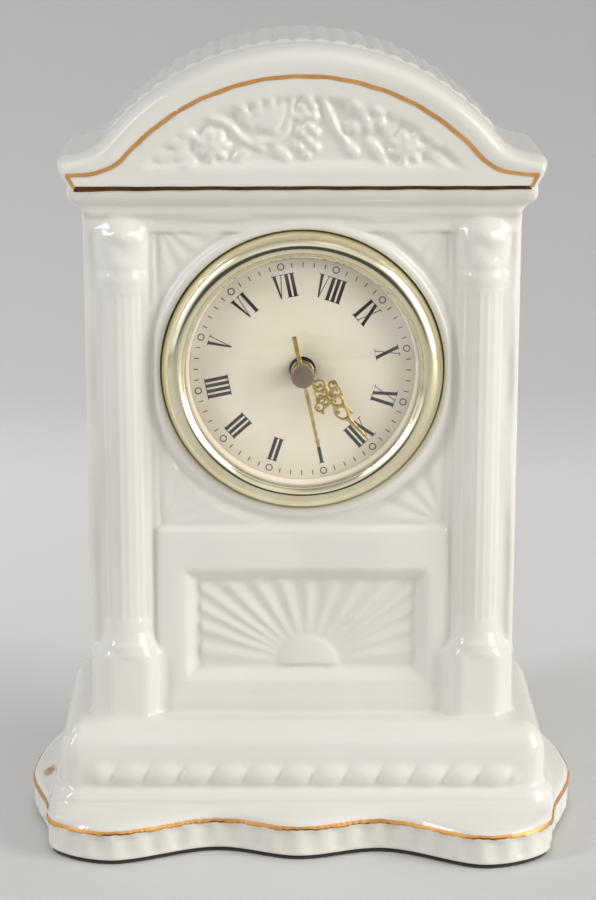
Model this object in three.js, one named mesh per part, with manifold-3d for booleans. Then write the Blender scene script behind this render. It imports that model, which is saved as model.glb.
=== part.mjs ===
import * as THREE from 'three';
import { mergeVertices } from 'three/addons/utils/BufferGeometryUtils.js';
import Module from 'manifold-3d';

// Porcelain desk clock with a quartz insert.
// Millimetres, Z up, front towards -Y, origin under the middle of the foot.

// Foot and flange: a serpentine plan with lobes at the corners, the sides and the middle of the front
const FELT_THICK = 1.2;
const FELT_INSET = 1.0;
const FOOT_HALF_X = 73.9;
const FOOT_HALF_Y = 44;
const GILT_Z = 9.2;
const LOBE_X = 49.5;
const FRONT_LOBE_Y = 39.5;
const VALLEY_X = 22;
const VALLEY_Y = 34;
const WAIST_X = 68.3;
const WAIST_Y = 24;
const CORNER_X = 64;
const CORNER_Y = 36.8;
const REAR_WAIST_Y = 28;
const REAR_LOBE_X = 55.5;
const REAR_LOBE_Y = 42;
const REAR_FLAT_X = 40.5;
const FOOT_FLUTES = 58;
const FOOT_FLUTE_DEPTH = 0.7;
const FLANGE_TOP_Z = 12.6;
const FLANGE_IN = [0, 0.1, 0.5, 1];
const FLANGE_UP = [0, 0.32, 0.62, 1];
const WALL = 5;

// Stepped slab above the flange, with the rope band on its front
const SLAB_HALF_X = 64.6;
const SLAB_FRONT = 28.6;
const SLAB_BACK = 34;
const SLAB_CORNER = 6;
const SLAB_TOP_Z = 33;
const SLAB_SHOULDER_Z = 24.4;
const SLAB_OVOLO = 7.2;
const STEP_OUT = 2;
const STEP_Z = 15.6;
const ROPE_Z = 20;
const ROPE_HALF_X = 57;
const ROPE_LOBES = 13;
const ROPE_RADIUS = 3.8;
const ROPE_RELIEF = 1.9;
const ROPE_SLANT = 0.5;
const ROPE_LOBE_LONG = 0.6;
const ROPE_LOBE_TALL = 0.85;

// Body
const BODY_HALF_X = 56.2;
const BODY_TOP_Z = 168;
const WALL_Y = -15.5;
const BODY_BACK = 25;
const BODY_CHAMFER = 2.9;

// Columns and their plinths and capitals
const COLUMN_X = 46.5;
const COLUMN_Y = -12.9;
const COLUMN_R = 6.5;
const COLUMN_FLUTES = 20;
const COLUMN_FLUTE_DEPTH = 0.45;
const PLINTH_HALF = 9.4;
const PLINTH_FRONT = -20.6;
const PLINTH_FACET = 4.3;
const PLINTH_TOP_Z = 50.3;
const PLINTH_BEVEL = 1.6;
const CAPITAL_TALL = 12.2;
const ASTRAGAL_TALL = 3.3;
const ASTRAGAL_OUT = 0.8;
const CAPITAL_OUT = 1.7;
const CAPITAL_FLARE_TALL = 4;

// Front panels
const DIAL_Y = -13.5;
const DIAL_Z = 126.5;
const UPPER_HALF_X = 38.7;
const UPPER_LOW_Z = 83.5;
const UPPER_TOP_DOWN = 1.6;
const UPPER_DEEP = 1.6;
const LOWER_HALF_X = 32.2;
const LOWER_LOW_Z = 41.5;
const LOWER_TOP_Z = 72;
const LOWER_BEVEL = 3.6;
const LOWER_DEEP = 3;
const SUN_RAYS = 15;
const SUN_R = 8.5;
const SUN_RAY_IN = 6.3;
const SUN_RELIEF = 1.6;
const SUN_CROWN = 2.6;
const SILL_HALF_X = 36;
const SILL_LOW_Z = 34.2;
const SILL_TOP_Z = 38.2;
const SILL_OUT = 1.4;
const RING_R = 39.6;
const RING_FRONT = -16.2;
const RING_ROUND = 1.6;
const RING_ROUND_WIDE = 3.2;

// Arched pediment: heights are over the dark line at its foot
const CORNICE_FRONT = -19.6;
const CORNICE_BACK = 27;
const CORNICE_FILLET = 1.4;
const CORNICE_TALL = 7;
const CORNICE_COVE_TALL = 3.2;
const CORNICE_SIDE_OUT = 3.2;
const PEDIMENT_FRONT = -20.5;
const PEDIMENT_BACK = 29;
const PEDIMENT_BACK_ROUND = 2;
const PEDIMENT_BACK_EASE = 0.8;
const PEDIMENT_ROUND_Y = -11;
const EAR_OUT = 3.6;
const EAR_LINE = 3;
const EAR_SIDE_OUT = 6.3;
const EAR_SIDE = 5.4;
const EAR_SWEEP_STEPS = 4;
const GILT_CROWN = 27.7;
const GILT_SPRING_IN = 9.2;
const GILT_SPRING = 4.8;
const GILT_SWEEP = 2.9;
const ROOF_CROWN = 35.8;
const ROOF_SPRING_IN = 6.2;
const ROOF_SPRING = 12.2;
const RIB_COUNT = 26;
const RIB_TALL = 1.2;
const RIB_CREST = 0.9;
const RIB_VALLEY = -0.4;
const RIB_END_IN = 1;
const TYMPANUM_INSET = 4;
const TYMPANUM_DEEP = 1.8;
const TYMPANUM_END_IN = 7;
const TYMPANUM_EASE = 0.07;
const GARLAND_RELIEF = 1.7;
const GRAPE_R = 2.2;
const GRAPE_PITCH = 3.2;
const GRAPE_ROWS = 4;
const GRAPE_TOP = 20;
const GRAPE_DROP = 3.1;
// Leaves and flowers of one spray: place, half length, half width, tilt in radians
const SPRAY = [
  { x: 9, up: 18, long: 5.2, wide: 1.9, tilt: 0.5 },
  { x: 11.5, up: 13.2, long: 5.2, wide: 1.8, tilt: -0.5 },
  { x: 18.5, up: 16.2, long: 5.4, wide: 2, tilt: 0.3 },
  { x: 26, up: 12, long: 4.4, wide: 4.2, tilt: 0 },
  { x: 32.5, up: 9.4, long: 4.6, wide: 1.7, tilt: 0.9 },
];

// Holes for the insert
const SEAT_DEPTH = 3;
const RECESS_R = 36.8;
const BORE_R = 31.2;
const FRONT_INNER_Y = -5.4;
const REAR_HOLE_R = 27;

// Insert: depth is measured from the front face of the dial, to the back
const INSERT_TURN = THREE.MathUtils.degToRad(138.35);
const BEZEL_R = 36;
const BEZEL_CREST_R = 32.9;
const BEZEL_CREST = -6.2;
const BEZEL_LIP_R = 30.4;
const BEZEL_LIP = -5;
const BEZEL_LIP_THICK = 0.7;
const BEZEL_BORE_R = 31.6;
const BEZEL_HEM = 0.5;
const BEZEL_HEM_IN_R = 30.2;
const BEZEL_BAND = 1.2;
const BEZEL_LIP_CROWN = 0.3;
const LENS_R = 31.3;
const LENS_EDGE = -2.5;
const LENS_THICK = 1.5;
const LENS_SPHERE_R = 78;
const LENS_FACE_R = 29.94;
const LENS_SILL = 0.4;
const DIAL_RING_IN_R = 29.2;
const DIAL_RING_SLOPE = 0.7;
const DIAL_R = 31.2;
const DIAL_THICK = 0.5;
const DIAL_HOLE_R = 3.4;
const FIT = 0.3;
const RUN = 0.08;

// How far one solid runs into another that it is joined with or cut from
const LAP = 1;

// Movement cup, rear cover and grip ring
const CUP_R = 29.2;
const CUP_WALL = 1.4;
const CUP_FRONT = 0.8;
const CUP_BACK = 20;
const CUP_FLANGE_R = 31.3;
const BUSH_R = 3;
const BUSH_FRONT = -1.2;
const COVER_THICK = 1.4;
const GRIP_IN_R = 29.5;
const GRIP_OUT_R = 30.9;
const GRIP_LENGTH = 9;
const GRIP_RIBS = 2;
const GRIP_RIB = 0.5;
const GRIP_RIB_AT = 0.35;
const GRIP_RIB_SLOPE = 0.4;
const GRIP_RIB_WIDE = 0.8;

// Train: tooth counts, modules and places of the arbors
const TRAIN_THICK = 0.8;
const PINION_THICK = 1;
const ARBOR_R = 0.4;
const PIVOT_R = 0.28;
const PIVOT_REACH = 0.97;
const PINION_LEAD = 0.1;
const TOOTH_TIP = 0.75;
const TOOTH_ROOT = 1.05;
const TOOTH_TIP_HALF = 0.085;
const TOOTH_ROOT_HALF = 0.2;
const MOTION_MODULE = 0.4;
const CANNON_TEETH = 8;
const MINUTE_WHEEL_TEETH = 24;
const MINUTE_PINION_TEETH = 6;
const HOUR_TEETH = 24;
const KNOB_TEETH = 8;
const THIRD_MODULE = 0.33;
const THIRD_PINION_TEETH = 6;
const CENTRE_TEETH = 48;
const THIRD_TEETH = 45;
const SECONDS_PINION_TEETH = 6;
const SECONDS_MODULE = 0.325;
const SECONDS_TEETH = 48;
const INTERMEDIATE_PINION_TEETH = 12;
const ROTOR_MODULE = 0.265;
const INTERMEDIATE_TEETH = 45;
const ROTOR_TEETH = 6;
const MINUTE_ANGLE = 235;
const THIRD_ANGLE = 100;
const INTERMEDIATE_ANGLE = 10;
const ROTOR_ANGLE = -20;

// Depths of the train
const HOUR_DEPTH = 2.6;
const CANNON_DEPTH = 3.9;
const CENTRE_DEPTH = 5.4;
const THIRD_DEPTH = 7.2;
const SECONDS_DEPTH = 8.9;
const INTERMEDIATE_DEPTH = 10.6;
const BRIDGE_DEPTH = 12.4;
const BRIDGE_THICK = 1.2;
const BRIDGE_R = 23;

// Arbors and pipes on the centre line
const SECONDS_ARBOR_R = 0.5;
const MINUTE_TUBE_IN_R = 0.7;
const MINUTE_TUBE_R = 1.15;
const HOUR_PIPE_IN_R = 1.35;
const HOUR_PIPE_R = 2;
const BUSH_HOLE_R = 2.25;
const ARBOR_PROUD = 0.4;

// Hands
const HAND_THICK = 0.3;
const HOUR_HAND_FRONT = -3;
const MINUTE_HAND_FRONT = -4.9;
const SECONDS_HAND_FRONT = -7;
const HOUR_HAND_LONG = 17;
const MINUTE_HAND_LONG = 24.6;
const SECONDS_HAND_LONG = 18.5;
const SECONDS_TAIL = 10.4;
const SECONDS_HAND_HALF = 0.45;
const SECONDS_TIP = 0.4;
const CAP_R = 3;
const CAP_FRONT = -8.8;
const CAP_EDGE = 0.4;
const CAP_SOCKET = 0.6;
const HOUR_HUB_R = 3;
const MINUTE_HUB_R = 2.4;
const HOUR_RING_AT = 6.2;
const HOUR_SCROLL_AT = 8.3;
const HOUR_SPADE_AT = 12;
const MINUTE_RING_AT = 6.4;
const MINUTE_SCROLL_AT = 8.6;
const MINUTE_SPADE_AT = 14.2;
const HAND_RING_R = 1.35;
const HAND_RING_WIDE = 0.5;
const HAND_SCROLL_X = 1.9;
const HAND_STEM_HALF = 0.55;
const HAND_BLADE_HALF = 0.85;
const HAND_POINT_HALF = 0.7;
const HAND_TAPER = 0.35;
const HAND_LAP = 0.4;
const HOUR_HAND_AT = THREE.MathUtils.degToRad(-8);
const MINUTE_HAND_AT = THREE.MathUtils.degToRad(-2.7);
const SECONDS_HAND_AT = THREE.MathUtils.degToRad(29.3);

// Motor and circuit
const MAGNET_R = 2.6;
const MAGNET_DEPTH = 7;
const MAGNET_LONG = 3;
const STATOR_DEPTH = 7.4;
const STATOR_THICK = 1;
const STATOR_HALF_X = 5.5;
const STATOR_LOW = 5;
const STATOR_TOP_Z = 13.4;
const STATOR_NOTCH_HALF = 3;
const STATOR_NOTCH_Z = 5.4;
const STATOR_POST_R = 1.2;
const STATOR_POST_X = 4.2;
const STATOR_POST_LOW = -3.9;
const STATOR_POST_TOP = 9;
const MAGNET_GAP = 0.5;
const CORE_Z = 12;
const CORE_HALF_Z = 1.2;
const CORE_THICK = 1.2;
const COIL_R = 2.5;
const COIL_HALF_X = 2.8;
const BOARD_LEFT = -13;
const BOARD_RIGHT = 18;
const BOARD_LOW = -18;
const BOARD_TOP = -7;
const BOARD_THICK = 1;
const CHIP_X = 0;
const CHIP_Z = -13;
const CHIP_SIDE = 4;
const CHIP_TALL = 1.2;
const CRYSTAL_R = 1;
const CRYSTAL_LONG = 6;
const CRYSTAL_X = -11;
const CRYSTAL_Z = -16.5;
const CRYSTAL_LIFT = 0.02;
const CELL_X = 11;
const CELL_Z = -13.4;
const CELL_R = 5.8;
const CELL_TALL = 5.4;
const CELL_STEP_R = 4.8;
const CELL_STEP = 0.5;
const CELL_CAN = 0.9;
const CELL_EDGE = 0.4;
const CONTACT_THICK = 0.3;
const CONTACT_HALF = 2;
const CONTACT_REACH = 3.48;
const CONTACT_HEEL = 0.3;
const COLLAR_WALL = 1;
const COLLAR_STEPS = 12;
const COLLAR_ROOT = 0.5;

// Battery hatch, setting knob and screws
const HATCH_HALF_X = 8;
const HATCH_LONG = 16;
const HATCH_TRAVEL = 14;
const HATCH_THICK = 1.2;
const RAIL_WIDE = 1.2;
const RAIL_LIP = 0.9;
const RAIL_LIP_THICK = 0.8;
const HATCH_GRIP = 0.7;
const HATCH_GRIPS = 4;
const HATCH_GRIP_PITCH = 2;
const HATCH_GRIP_WIDE = 1;
const KNOB_R = 4.6;
const KNOB_NOTCHES = 16;
const KNOB_NOTCH = 0.5;
const KNOB_FRONT_GAP = 0.6;
const KNOB_TALL = 5;
const KNOB_SHAFT_R = 0.9;
const PILLAR_R = 1.7;
const PILLAR_AT = 21;
const PILLAR_ANGLES = [125, 215, 285];
const BOSS_R = 1.8;
const BOSS_AT = 25.6;
const BOSS_ANGLES = [90, 200, 340];
const SCREW_R = 0.7;
const SCREW_HEAD_R = 1.5;
const SCREW_HEAD = 0.9;
const SCREW_LONG = 5;
const SLOT_WIDE = 0.5;
const SLOT_DEEP = 0.4;

// Roundness
const SIDES_FOOT = 80;
const SIDES_SLAB = 52;
const SIDES_LARGE = 48;
const SIDES_CELL = 32;
const SIDES_CAP = 24;
const SIDES_MEDIUM = 30;
const SIDES_COLUMN = 20;
const SIDES_SMALL = 14;
const SIDES_SCROLL = 10;
const SIDES_PIVOT = 8;
const SIDES_BEAD = 7;
const BEAD_LEVELS = 4;
const ARCH_POINTS = 25;
const ARCH_POINTS_COARSE = 15;
const ROUND_SHARES = [0, 0.4, 0.75, 1];
const ROLL_SHARES = [0, 0.25, 0.5, 0.75, 1];
const CREST_SHARES = [0.33, 0.66, 1];

// Derived heights, widths and radii, so that the columns, the panel and the pediment follow the body
const ASTRAGAL_Z = BODY_TOP_Z - CAPITAL_TALL - ASTRAGAL_TALL;
const UPPER_TOP_Z = BODY_TOP_Z - UPPER_TOP_DOWN;
const CORNICE_COVE_Z = BODY_TOP_Z + CORNICE_COVE_TALL;
const DARK_LINE_Z = BODY_TOP_Z + CORNICE_TALL;
const EAR_LINE_Z = DARK_LINE_Z + EAR_LINE;
const EAR_SIDE_Z = DARK_LINE_Z + EAR_SIDE;
const GILT_CROWN_Z = DARK_LINE_Z + GILT_CROWN;
const GILT_SPRING_Z = DARK_LINE_Z + GILT_SPRING;
const GILT_SWEEP_Z = DARK_LINE_Z + GILT_SWEEP;
const ROOF_CROWN_Z = DARK_LINE_Z + ROOF_CROWN;
const ROOF_SPRING_Z = DARK_LINE_Z + ROOF_SPRING;
const EAR_HALF_X = BODY_HALF_X + EAR_OUT;
const EAR_SIDE_X = BODY_HALF_X + EAR_SIDE_OUT;
const GILT_SPRING_X = BODY_HALF_X - GILT_SPRING_IN;
const ROOF_SPRING_X = BODY_HALF_X - ROOF_SPRING_IN;
const RIB_HALF_X = ROOF_SPRING_X - RIB_END_IN;
const TYMPANUM_HALF_X = GILT_SPRING_X - TYMPANUM_END_IN;
const GILT_ARCH_R = radiusOver(GILT_SPRING_X, GILT_CROWN_Z - GILT_SPRING_Z);
const ROOF_ARCH_R = radiusOver(ROOF_SPRING_X, ROOF_CROWN_Z - ROOF_SPRING_Z);

const QUARTER = Math.PI / 2;
const HALF_TURN = 180;
const wasm = await Module();
wasm.setup();

// Radius of an arch over half a span, with the given rise
function radiusOver(half, rise) {
  return (half ** 2 + rise ** 2) / (2 * rise);
}

// Solids

function toSolid(geometry) {
  geometry.deleteAttribute('normal');
  geometry.deleteAttribute('uv');
  const merged = mergeVertices(geometry);
  return new wasm.Manifold(new wasm.Mesh({
    numProp: 3,
    vertProperties: new Float32Array(merged.attributes.position.array),
    triVerts: new Uint32Array(merged.index.array),
  }));
}

function toGeometry(solid) {
  const mesh = solid.getMesh();
  const geometry = new THREE.BufferGeometry();
  geometry.setAttribute('position', new THREE.BufferAttribute(mesh.vertProperties.slice(), 3));
  geometry.setIndex(new THREE.BufferAttribute(mesh.triVerts.slice(), 1));
  return geometry;
}

function join(solids) {
  return solids.reduce((all, one) => all.add(one));
}

function polar(radius, angle) {
  return new THREE.Vector2(radius * Math.cos(angle), radius * Math.sin(angle));
}

function at(radius, degrees) {
  return polar(radius, THREE.MathUtils.degToRad(degrees));
}

function shapeOf(points, holes = []) {
  const shape = new THREE.Shape(points);
  for (const hole of holes) shape.holes.push(new THREE.Path(hole));
  return shape;
}

function circle(radius, sides, x = 0, z = 0) {
  return Array.from({ length: sides }, (_, i) => polar(radius, (2 * Math.PI * i) / sides).add({ x, y: z }));
}

// A hole that clears a round shaft all the way round although its sides are flat
function clearCircle(radius, sides, x = 0, z = 0) {
  return circle(radius / Math.cos(Math.PI / sides), sides, x, z);
}

function rectangle(left, low, right, top) {
  return [
    new THREE.Vector2(left, low),
    new THREE.Vector2(right, low),
    new THREE.Vector2(right, top),
    new THREE.Vector2(left, top),
  ];
}

// Flat plate in the front view, between two depths along Y
function plate(shape, near, far) {
  const geometry = new THREE.ExtrudeGeometry(shape, { depth: far - near, bevelEnabled: false });
  geometry.rotateX(QUARTER);
  geometry.translate(0, far, 0);
  return toSolid(geometry);
}

function rod(radius, near, far, sides, x = 0, z = 0) {
  return plate(shapeOf(circle(radius, sides, x, z)), near, far);
}

function drill(radius, near, far, sides, x = 0, z = 0) {
  return plate(shapeOf(clearCircle(radius, sides, x, z)), near, far);
}

// Turned about the Y axis from a closed outline of radius and depth
function turned(outline, sides) {
  const points = outline.map(([radius, depth]) => new THREE.Vector2(radius, depth));
  if (THREE.ShapeUtils.area(points) < 0) points.reverse();
  points.push(points[0].clone());
  return toSolid(new THREE.LatheGeometry(points, sides));
}

// Skin through rings of equal length in one plane, each at its own height
function loft(rings, heights) {
  const count = rings[0].length;
  const positions = [];
  const index = [];
  rings.forEach((ring, level) => ring.forEach((point) => positions.push(point.x, point.y, heights[level])));
  for (let level = 0; level + 1 < rings.length; level += 1) {
    for (let i = 0; i < count; i += 1) {
      const low = level * count + i;
      const lowNext = level * count + ((i + 1) % count);
      index.push(low, lowNext, lowNext + count, low, lowNext + count, low + count);
    }
  }
  const last = (rings.length - 1) * count;
  for (const [a, b, c] of THREE.ShapeUtils.triangulateShape(rings[0], [])) index.push(c, b, a);
  for (const [a, b, c] of THREE.ShapeUtils.triangulateShape(rings[rings.length - 1], [])) {
    index.push(last + a, last + b, last + c);
  }
  const geometry = new THREE.BufferGeometry();
  geometry.setAttribute('position', new THREE.Float32BufferAttribute(positions, 3));
  geometry.setIndex(index);
  return geometry;
}

function standingLoft(rings, heights) {
  return toSolid(loft(rings, heights));
}

// The same skin laid into the front view: heights are depths along Y, listed from the back to the front
function facingLoft(rings, depths) {
  const geometry = loft(rings, depths.map((depth) => -depth));
  geometry.rotateX(QUARTER);
  return toSolid(geometry);
}

function box(left, right, near, far, low, top) {
  const geometry = new THREE.BoxGeometry(right - left, far - near, top - low);
  geometry.translate((left + right) / 2, (near + far) / 2, (low + top) / 2);
  return toSolid(geometry);
}

function bead(radiusX, radiusY, radiusZ, tilt, x, y, z, sides = SIDES_BEAD) {
  const geometry = new THREE.SphereGeometry(1, sides, BEAD_LEVELS);
  geometry.scale(radiusX, radiusY, radiusZ);
  geometry.rotateY(tilt);
  geometry.translate(x, y, z);
  return toSolid(geometry);
}

// Porcelain case

function mirrored(half) {
  const other = half.slice().reverse().map((point) => new THREE.Vector2(-point.x, point.y));
  return half.concat(other.filter((point) => point.x !== 0));
}

function footOutline(count) {
  const half = [
    [0, -FRONT_LOBE_Y],
    [VALLEY_X, -VALLEY_Y],
    [LOBE_X, -FOOT_HALF_Y],
    [CORNER_X, -CORNER_Y],
    [WAIST_X, -WAIST_Y],
    [FOOT_HALF_X, 0],
    [WAIST_X, REAR_WAIST_Y],
    [REAR_LOBE_X, REAR_LOBE_Y],
    [REAR_FLAT_X, FOOT_HALF_Y],
    [0, FOOT_HALF_Y],
  ].map(([x, y]) => new THREE.Vector2(x, y));
  const points = mirrored(half).map((point) => new THREE.Vector3(point.x, point.y, 0));
  const curve = new THREE.CatmullRomCurve3(points, true, 'centripetal');
  const spaced = curve.getSpacedPoints(count).slice(0, count);
  const low = Math.min(...spaced.map((point) => point.y));
  const high = Math.max(...spaced.map((point) => point.y));
  const wide = Math.max(...spaced.map((point) => point.x));
  return spaced.map((point) => new THREE.Vector2(
    (point.x * FOOT_HALF_X) / wide,
    ((point.y - (low + high) / 2) * 2 * FOOT_HALF_Y) / (high - low),
  ));
}

function roundedOutline(halfX, front, back, radius, count) {
  const path = new THREE.Path();
  path.moveTo(0, -front);
  path.lineTo(halfX - radius, -front);
  path.absarc(halfX - radius, radius - front, radius, -QUARTER, 0);
  path.lineTo(halfX, back - radius);
  path.absarc(halfX - radius, back - radius, radius, 0, QUARTER);
  path.lineTo(radius - halfX, back);
  path.absarc(radius - halfX, back - radius, radius, QUARTER, Math.PI);
  path.lineTo(-halfX, radius - front);
  path.absarc(radius - halfX, radius - front, radius, Math.PI, Math.PI + QUARTER);
  path.lineTo(0, -front);
  return path.getSpacedPoints(count).slice(0, count);
}

function blend(from, to, share) {
  return from.map((point, i) => point.clone().lerp(to[i], share));
}

function inward(ring, amount) {
  return ring.map((point, i) => {
    const before = ring[(i + ring.length - 1) % ring.length];
    const after = ring[(i + 1) % ring.length];
    const along = after.clone().sub(before).normalize();
    return new THREE.Vector2(point.x - along.y * amount(i), point.y + along.x * amount(i));
  });
}

function footAndFlange() {
  const perFlute = 2;
  const outer = footOutline(FOOT_FLUTES * perFlute);
  const fluted = inward(outer, (i) => (i % perFlute === 0 ? FOOT_FLUTE_DEPTH : 0));
  const step = roundedOutline(
    SLAB_HALF_X + STEP_OUT,
    SLAB_FRONT + STEP_OUT,
    SLAB_BACK + STEP_OUT,
    SLAB_CORNER,
    outer.length,
  );
  const rise = FLANGE_TOP_Z - GILT_Z;
  const rings = FLANGE_IN.map((share) => blend(outer, step, share));
  const heights = FLANGE_UP.map((share) => GILT_Z + rise * share);
  return standingLoft([fluted, fluted, ...rings], [FELT_THICK, GILT_Z - FOOT_FLUTE_DEPTH, ...heights]);
}

function slab() {
  const ring = (out) => roundedOutline(
    SLAB_HALF_X + out,
    SLAB_FRONT + out,
    SLAB_BACK + out,
    SLAB_CORNER,
    SIDES_SLAB,
  );
  const rise = SLAB_TOP_Z - SLAB_SHOULDER_Z;
  const turns = ROUND_SHARES.map((share) => share * QUARTER);
  const ovolo = turns.map((turn) => ring(-SLAB_OVOLO * (1 - Math.cos(turn))));
  const ovoloZ = turns.map((turn) => SLAB_SHOULDER_Z + rise * Math.sin(turn));
  return standingLoft(
    [ring(STEP_OUT), ring(STEP_OUT), ring(0), ...ovolo],
    [FLANGE_TOP_Z - LAP, FLANGE_TOP_Z, STEP_Z, ...ovoloZ],
  );
}

function rope() {
  const pitch = (2 * ROPE_HALF_X) / ROPE_LOBES;
  const lobes = [];
  for (let i = 0; i < ROPE_LOBES; i += 1) {
    const x = (i + 0.5) * pitch - ROPE_HALF_X;
    lobes.push(bead(
      pitch * ROPE_LOBE_LONG,
      ROPE_RELIEF * 2,
      ROPE_RADIUS * ROPE_LOBE_TALL,
      -ROPE_SLANT,
      x,
      ROPE_RELIEF - SLAB_FRONT,
      ROPE_Z,
    ));
  }
  return join(lobes);
}

function bodyBlock() {
  const plan = [
    [-BODY_HALF_X, BODY_BACK],
    [-BODY_HALF_X, WALL_Y + BODY_CHAMFER],
    [BODY_CHAMFER - BODY_HALF_X, WALL_Y],
    [BODY_HALF_X - BODY_CHAMFER, WALL_Y],
    [BODY_HALF_X, WALL_Y + BODY_CHAMFER],
    [BODY_HALF_X, BODY_BACK],
  ].map(([x, y]) => new THREE.Vector2(x, y));
  return standingLoft([plan, plan], [SLAB_TOP_Z - LAP, BODY_TOP_Z + LAP]);
}

function flutedRing() {
  const perFlute = 2;
  const count = COLUMN_FLUTES * perFlute;
  return Array.from({ length: count }, (_, i) => {
    const depth = i % perFlute === 0 ? COLUMN_FLUTE_DEPTH : 0;
    return polar(COLUMN_R - depth, (2 * Math.PI * i) / count);
  });
}

function octagonRing(out) {
  const half = PLINTH_HALF + out;
  const front = PLINTH_FRONT - COLUMN_Y - out;
  return [
    [-half, 0],
    [-half, front + PLINTH_FACET],
    [PLINTH_FACET - half, front],
    [half - PLINTH_FACET, front],
    [half, front + PLINTH_FACET],
    [half, 0],
  ].map(([x, y]) => new THREE.Vector2(x, y));
}

function column() {
  const shaft = flutedRing();
  const bare = circle(COLUMN_R, SIDES_COLUMN);
  const round = (out) => bare.map((point) => point.clone().setLength(COLUMN_R + out));
  const capitalZ = ASTRAGAL_Z + ASTRAGAL_TALL;
  return join([
    standingLoft(
      [octagonRing(0), octagonRing(0), octagonRing(-PLINTH_BEVEL)],
      [SLAB_TOP_Z - LAP, PLINTH_TOP_Z, PLINTH_TOP_Z + PLINTH_BEVEL],
    ),
    standingLoft([shaft, shaft], [PLINTH_TOP_Z, ASTRAGAL_Z + LAP]),
    standingLoft(
      [round(0), round(ASTRAGAL_OUT), round(ASTRAGAL_OUT), round(0)],
      [ASTRAGAL_Z, ASTRAGAL_Z + ASTRAGAL_OUT, capitalZ - ASTRAGAL_OUT, capitalZ],
    ),
    standingLoft(
      [round(0), round(CAPITAL_OUT), round(CAPITAL_OUT)],
      [capitalZ, BODY_TOP_Z - CAPITAL_FLARE_TALL, BODY_TOP_Z],
    ),
  ]);
}

function upperPanel() {
  return box(-UPPER_HALF_X, UPPER_HALF_X, WALL_Y - LAP, WALL_Y + UPPER_DEEP, UPPER_LOW_Z, UPPER_TOP_Z);
}

function lowerPanel() {
  const ring = (inset) => rectangle(
    inset - LOWER_HALF_X,
    LOWER_LOW_Z + inset,
    LOWER_HALF_X - inset,
    LOWER_TOP_Z - inset,
  );
  return facingLoft([ring(LOWER_BEVEL), ring(0), ring(0)], [WALL_Y + LOWER_DEEP, WALL_Y, WALL_Y - LAP]);
}

// Rays that widen from the disc to the edges of the panel, each with a ridge along its middle
function sunburst() {
  const floor = LOWER_LOW_Z + LOWER_BEVEL;
  const back = WALL_Y + LOWER_DEEP;
  const ridge = back - SUN_RELIEF;
  const root = back + LAP;
  const reach = 2 * LOWER_HALF_X;
  const field = box(
    LOWER_BEVEL - LOWER_HALF_X,
    LOWER_HALF_X - LOWER_BEVEL,
    ridge - SUN_CROWN,
    root,
    floor,
    LOWER_TOP_Z - LOWER_BEVEL,
  );
  const half = Math.PI / SUN_RAYS / 2;
  const rays = Array.from({ length: SUN_RAYS }, (_, i) => {
    const angle = (2 * i + 1) * half;
    const nearPoints = [-half, 0, half].map((turn) => polar(SUN_RAY_IN, angle + turn));
    const farPoints = [half, 0, -half].map((turn) => polar(reach, angle + turn));
    const outline = [...nearPoints, ...farPoints];
    const crest = new Set([nearPoints[1], farPoints[1]]);
    const positions = [];
    for (const point of outline) positions.push(point.x, crest.has(point) ? ridge : back, floor + point.y);
    for (const point of outline) positions.push(point.x, root, floor + point.y);
    const count = outline.length;
    const index = [0, 5, 4, 0, 4, 1, 1, 4, 3, 1, 3, 2];
    const under = index.map((corner) => corner + count).reverse();
    for (let corner = 0; corner < count; corner += 1) {
      const next = (corner + 1) % count;
      under.push(corner, next, next + count, corner, next + count, corner + count);
    }
    const ray = new THREE.BufferGeometry();
    ray.setAttribute('position', new THREE.Float32BufferAttribute(positions, 3));
    ray.setIndex([...index, ...under]);
    return toSolid(ray);
  });
  const disc = bead(SUN_R, SUN_CROWN, SUN_R, 0, 0, back, floor, SIDES_SMALL);
  return join([...rays, disc]).intersect(field);
}

function sill() {
  const ring = (out) => rectangle(-SILL_HALF_X - out, SILL_LOW_Z, SILL_HALF_X + out, SILL_TOP_Z - out);
  return facingLoft([ring(0), ring(0), ring(-SILL_OUT)], [WALL_Y + LAP, WALL_Y, WALL_Y - SILL_OUT]);
}

function bezelRing() {
  const back = WALL_Y + UPPER_DEEP + LAP;
  const outline = [[RECESS_R - LAP, back], [RECESS_R - LAP, RING_FRONT]];
  for (const share of ROUND_SHARES) {
    const turn = share * QUARTER;
    outline.push([
      RING_R - RING_ROUND_WIDE * (1 - Math.sin(turn)),
      RING_FRONT + RING_ROUND * (1 - Math.cos(turn)),
    ]);
  }
  outline.push([RING_R, back]);
  return turned(outline, SIDES_LARGE);
}

// Points of the arch between its springings, left to right, on a circle under the given crown
function arch(radius, crown, halfX, count) {
  const swing = Math.asin(halfX / radius);
  return Array.from({ length: count }, (_, i) => {
    const turn = swing * (1 - (2 * i) / (count - 1));
    return new THREE.Vector2(-radius * Math.sin(turn), crown - radius + radius * Math.cos(turn));
  });
}

// Outline of the pediment: the arch sweeps out to the tip of each ear, and back in to the cornice
function earsAndArch(tip, sweepZ, archPoints) {
  const spring = archPoints[archPoints.length - 1];
  const hollow = new THREE.Vector2((spring.x + tip.x) / 2, sweepZ);
  const sweep = new THREE.QuadraticBezierCurve(spring, hollow, tip).getPoints(EAR_SWEEP_STEPS).slice(1);
  const right = [...sweep, new THREE.Vector2(BODY_HALF_X + CORNICE_SIDE_OUT, DARK_LINE_Z)];
  const left = right.map((point) => new THREE.Vector2(-point.x, point.y)).reverse();
  return [...left, ...archPoints, ...right].reverse();
}

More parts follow.
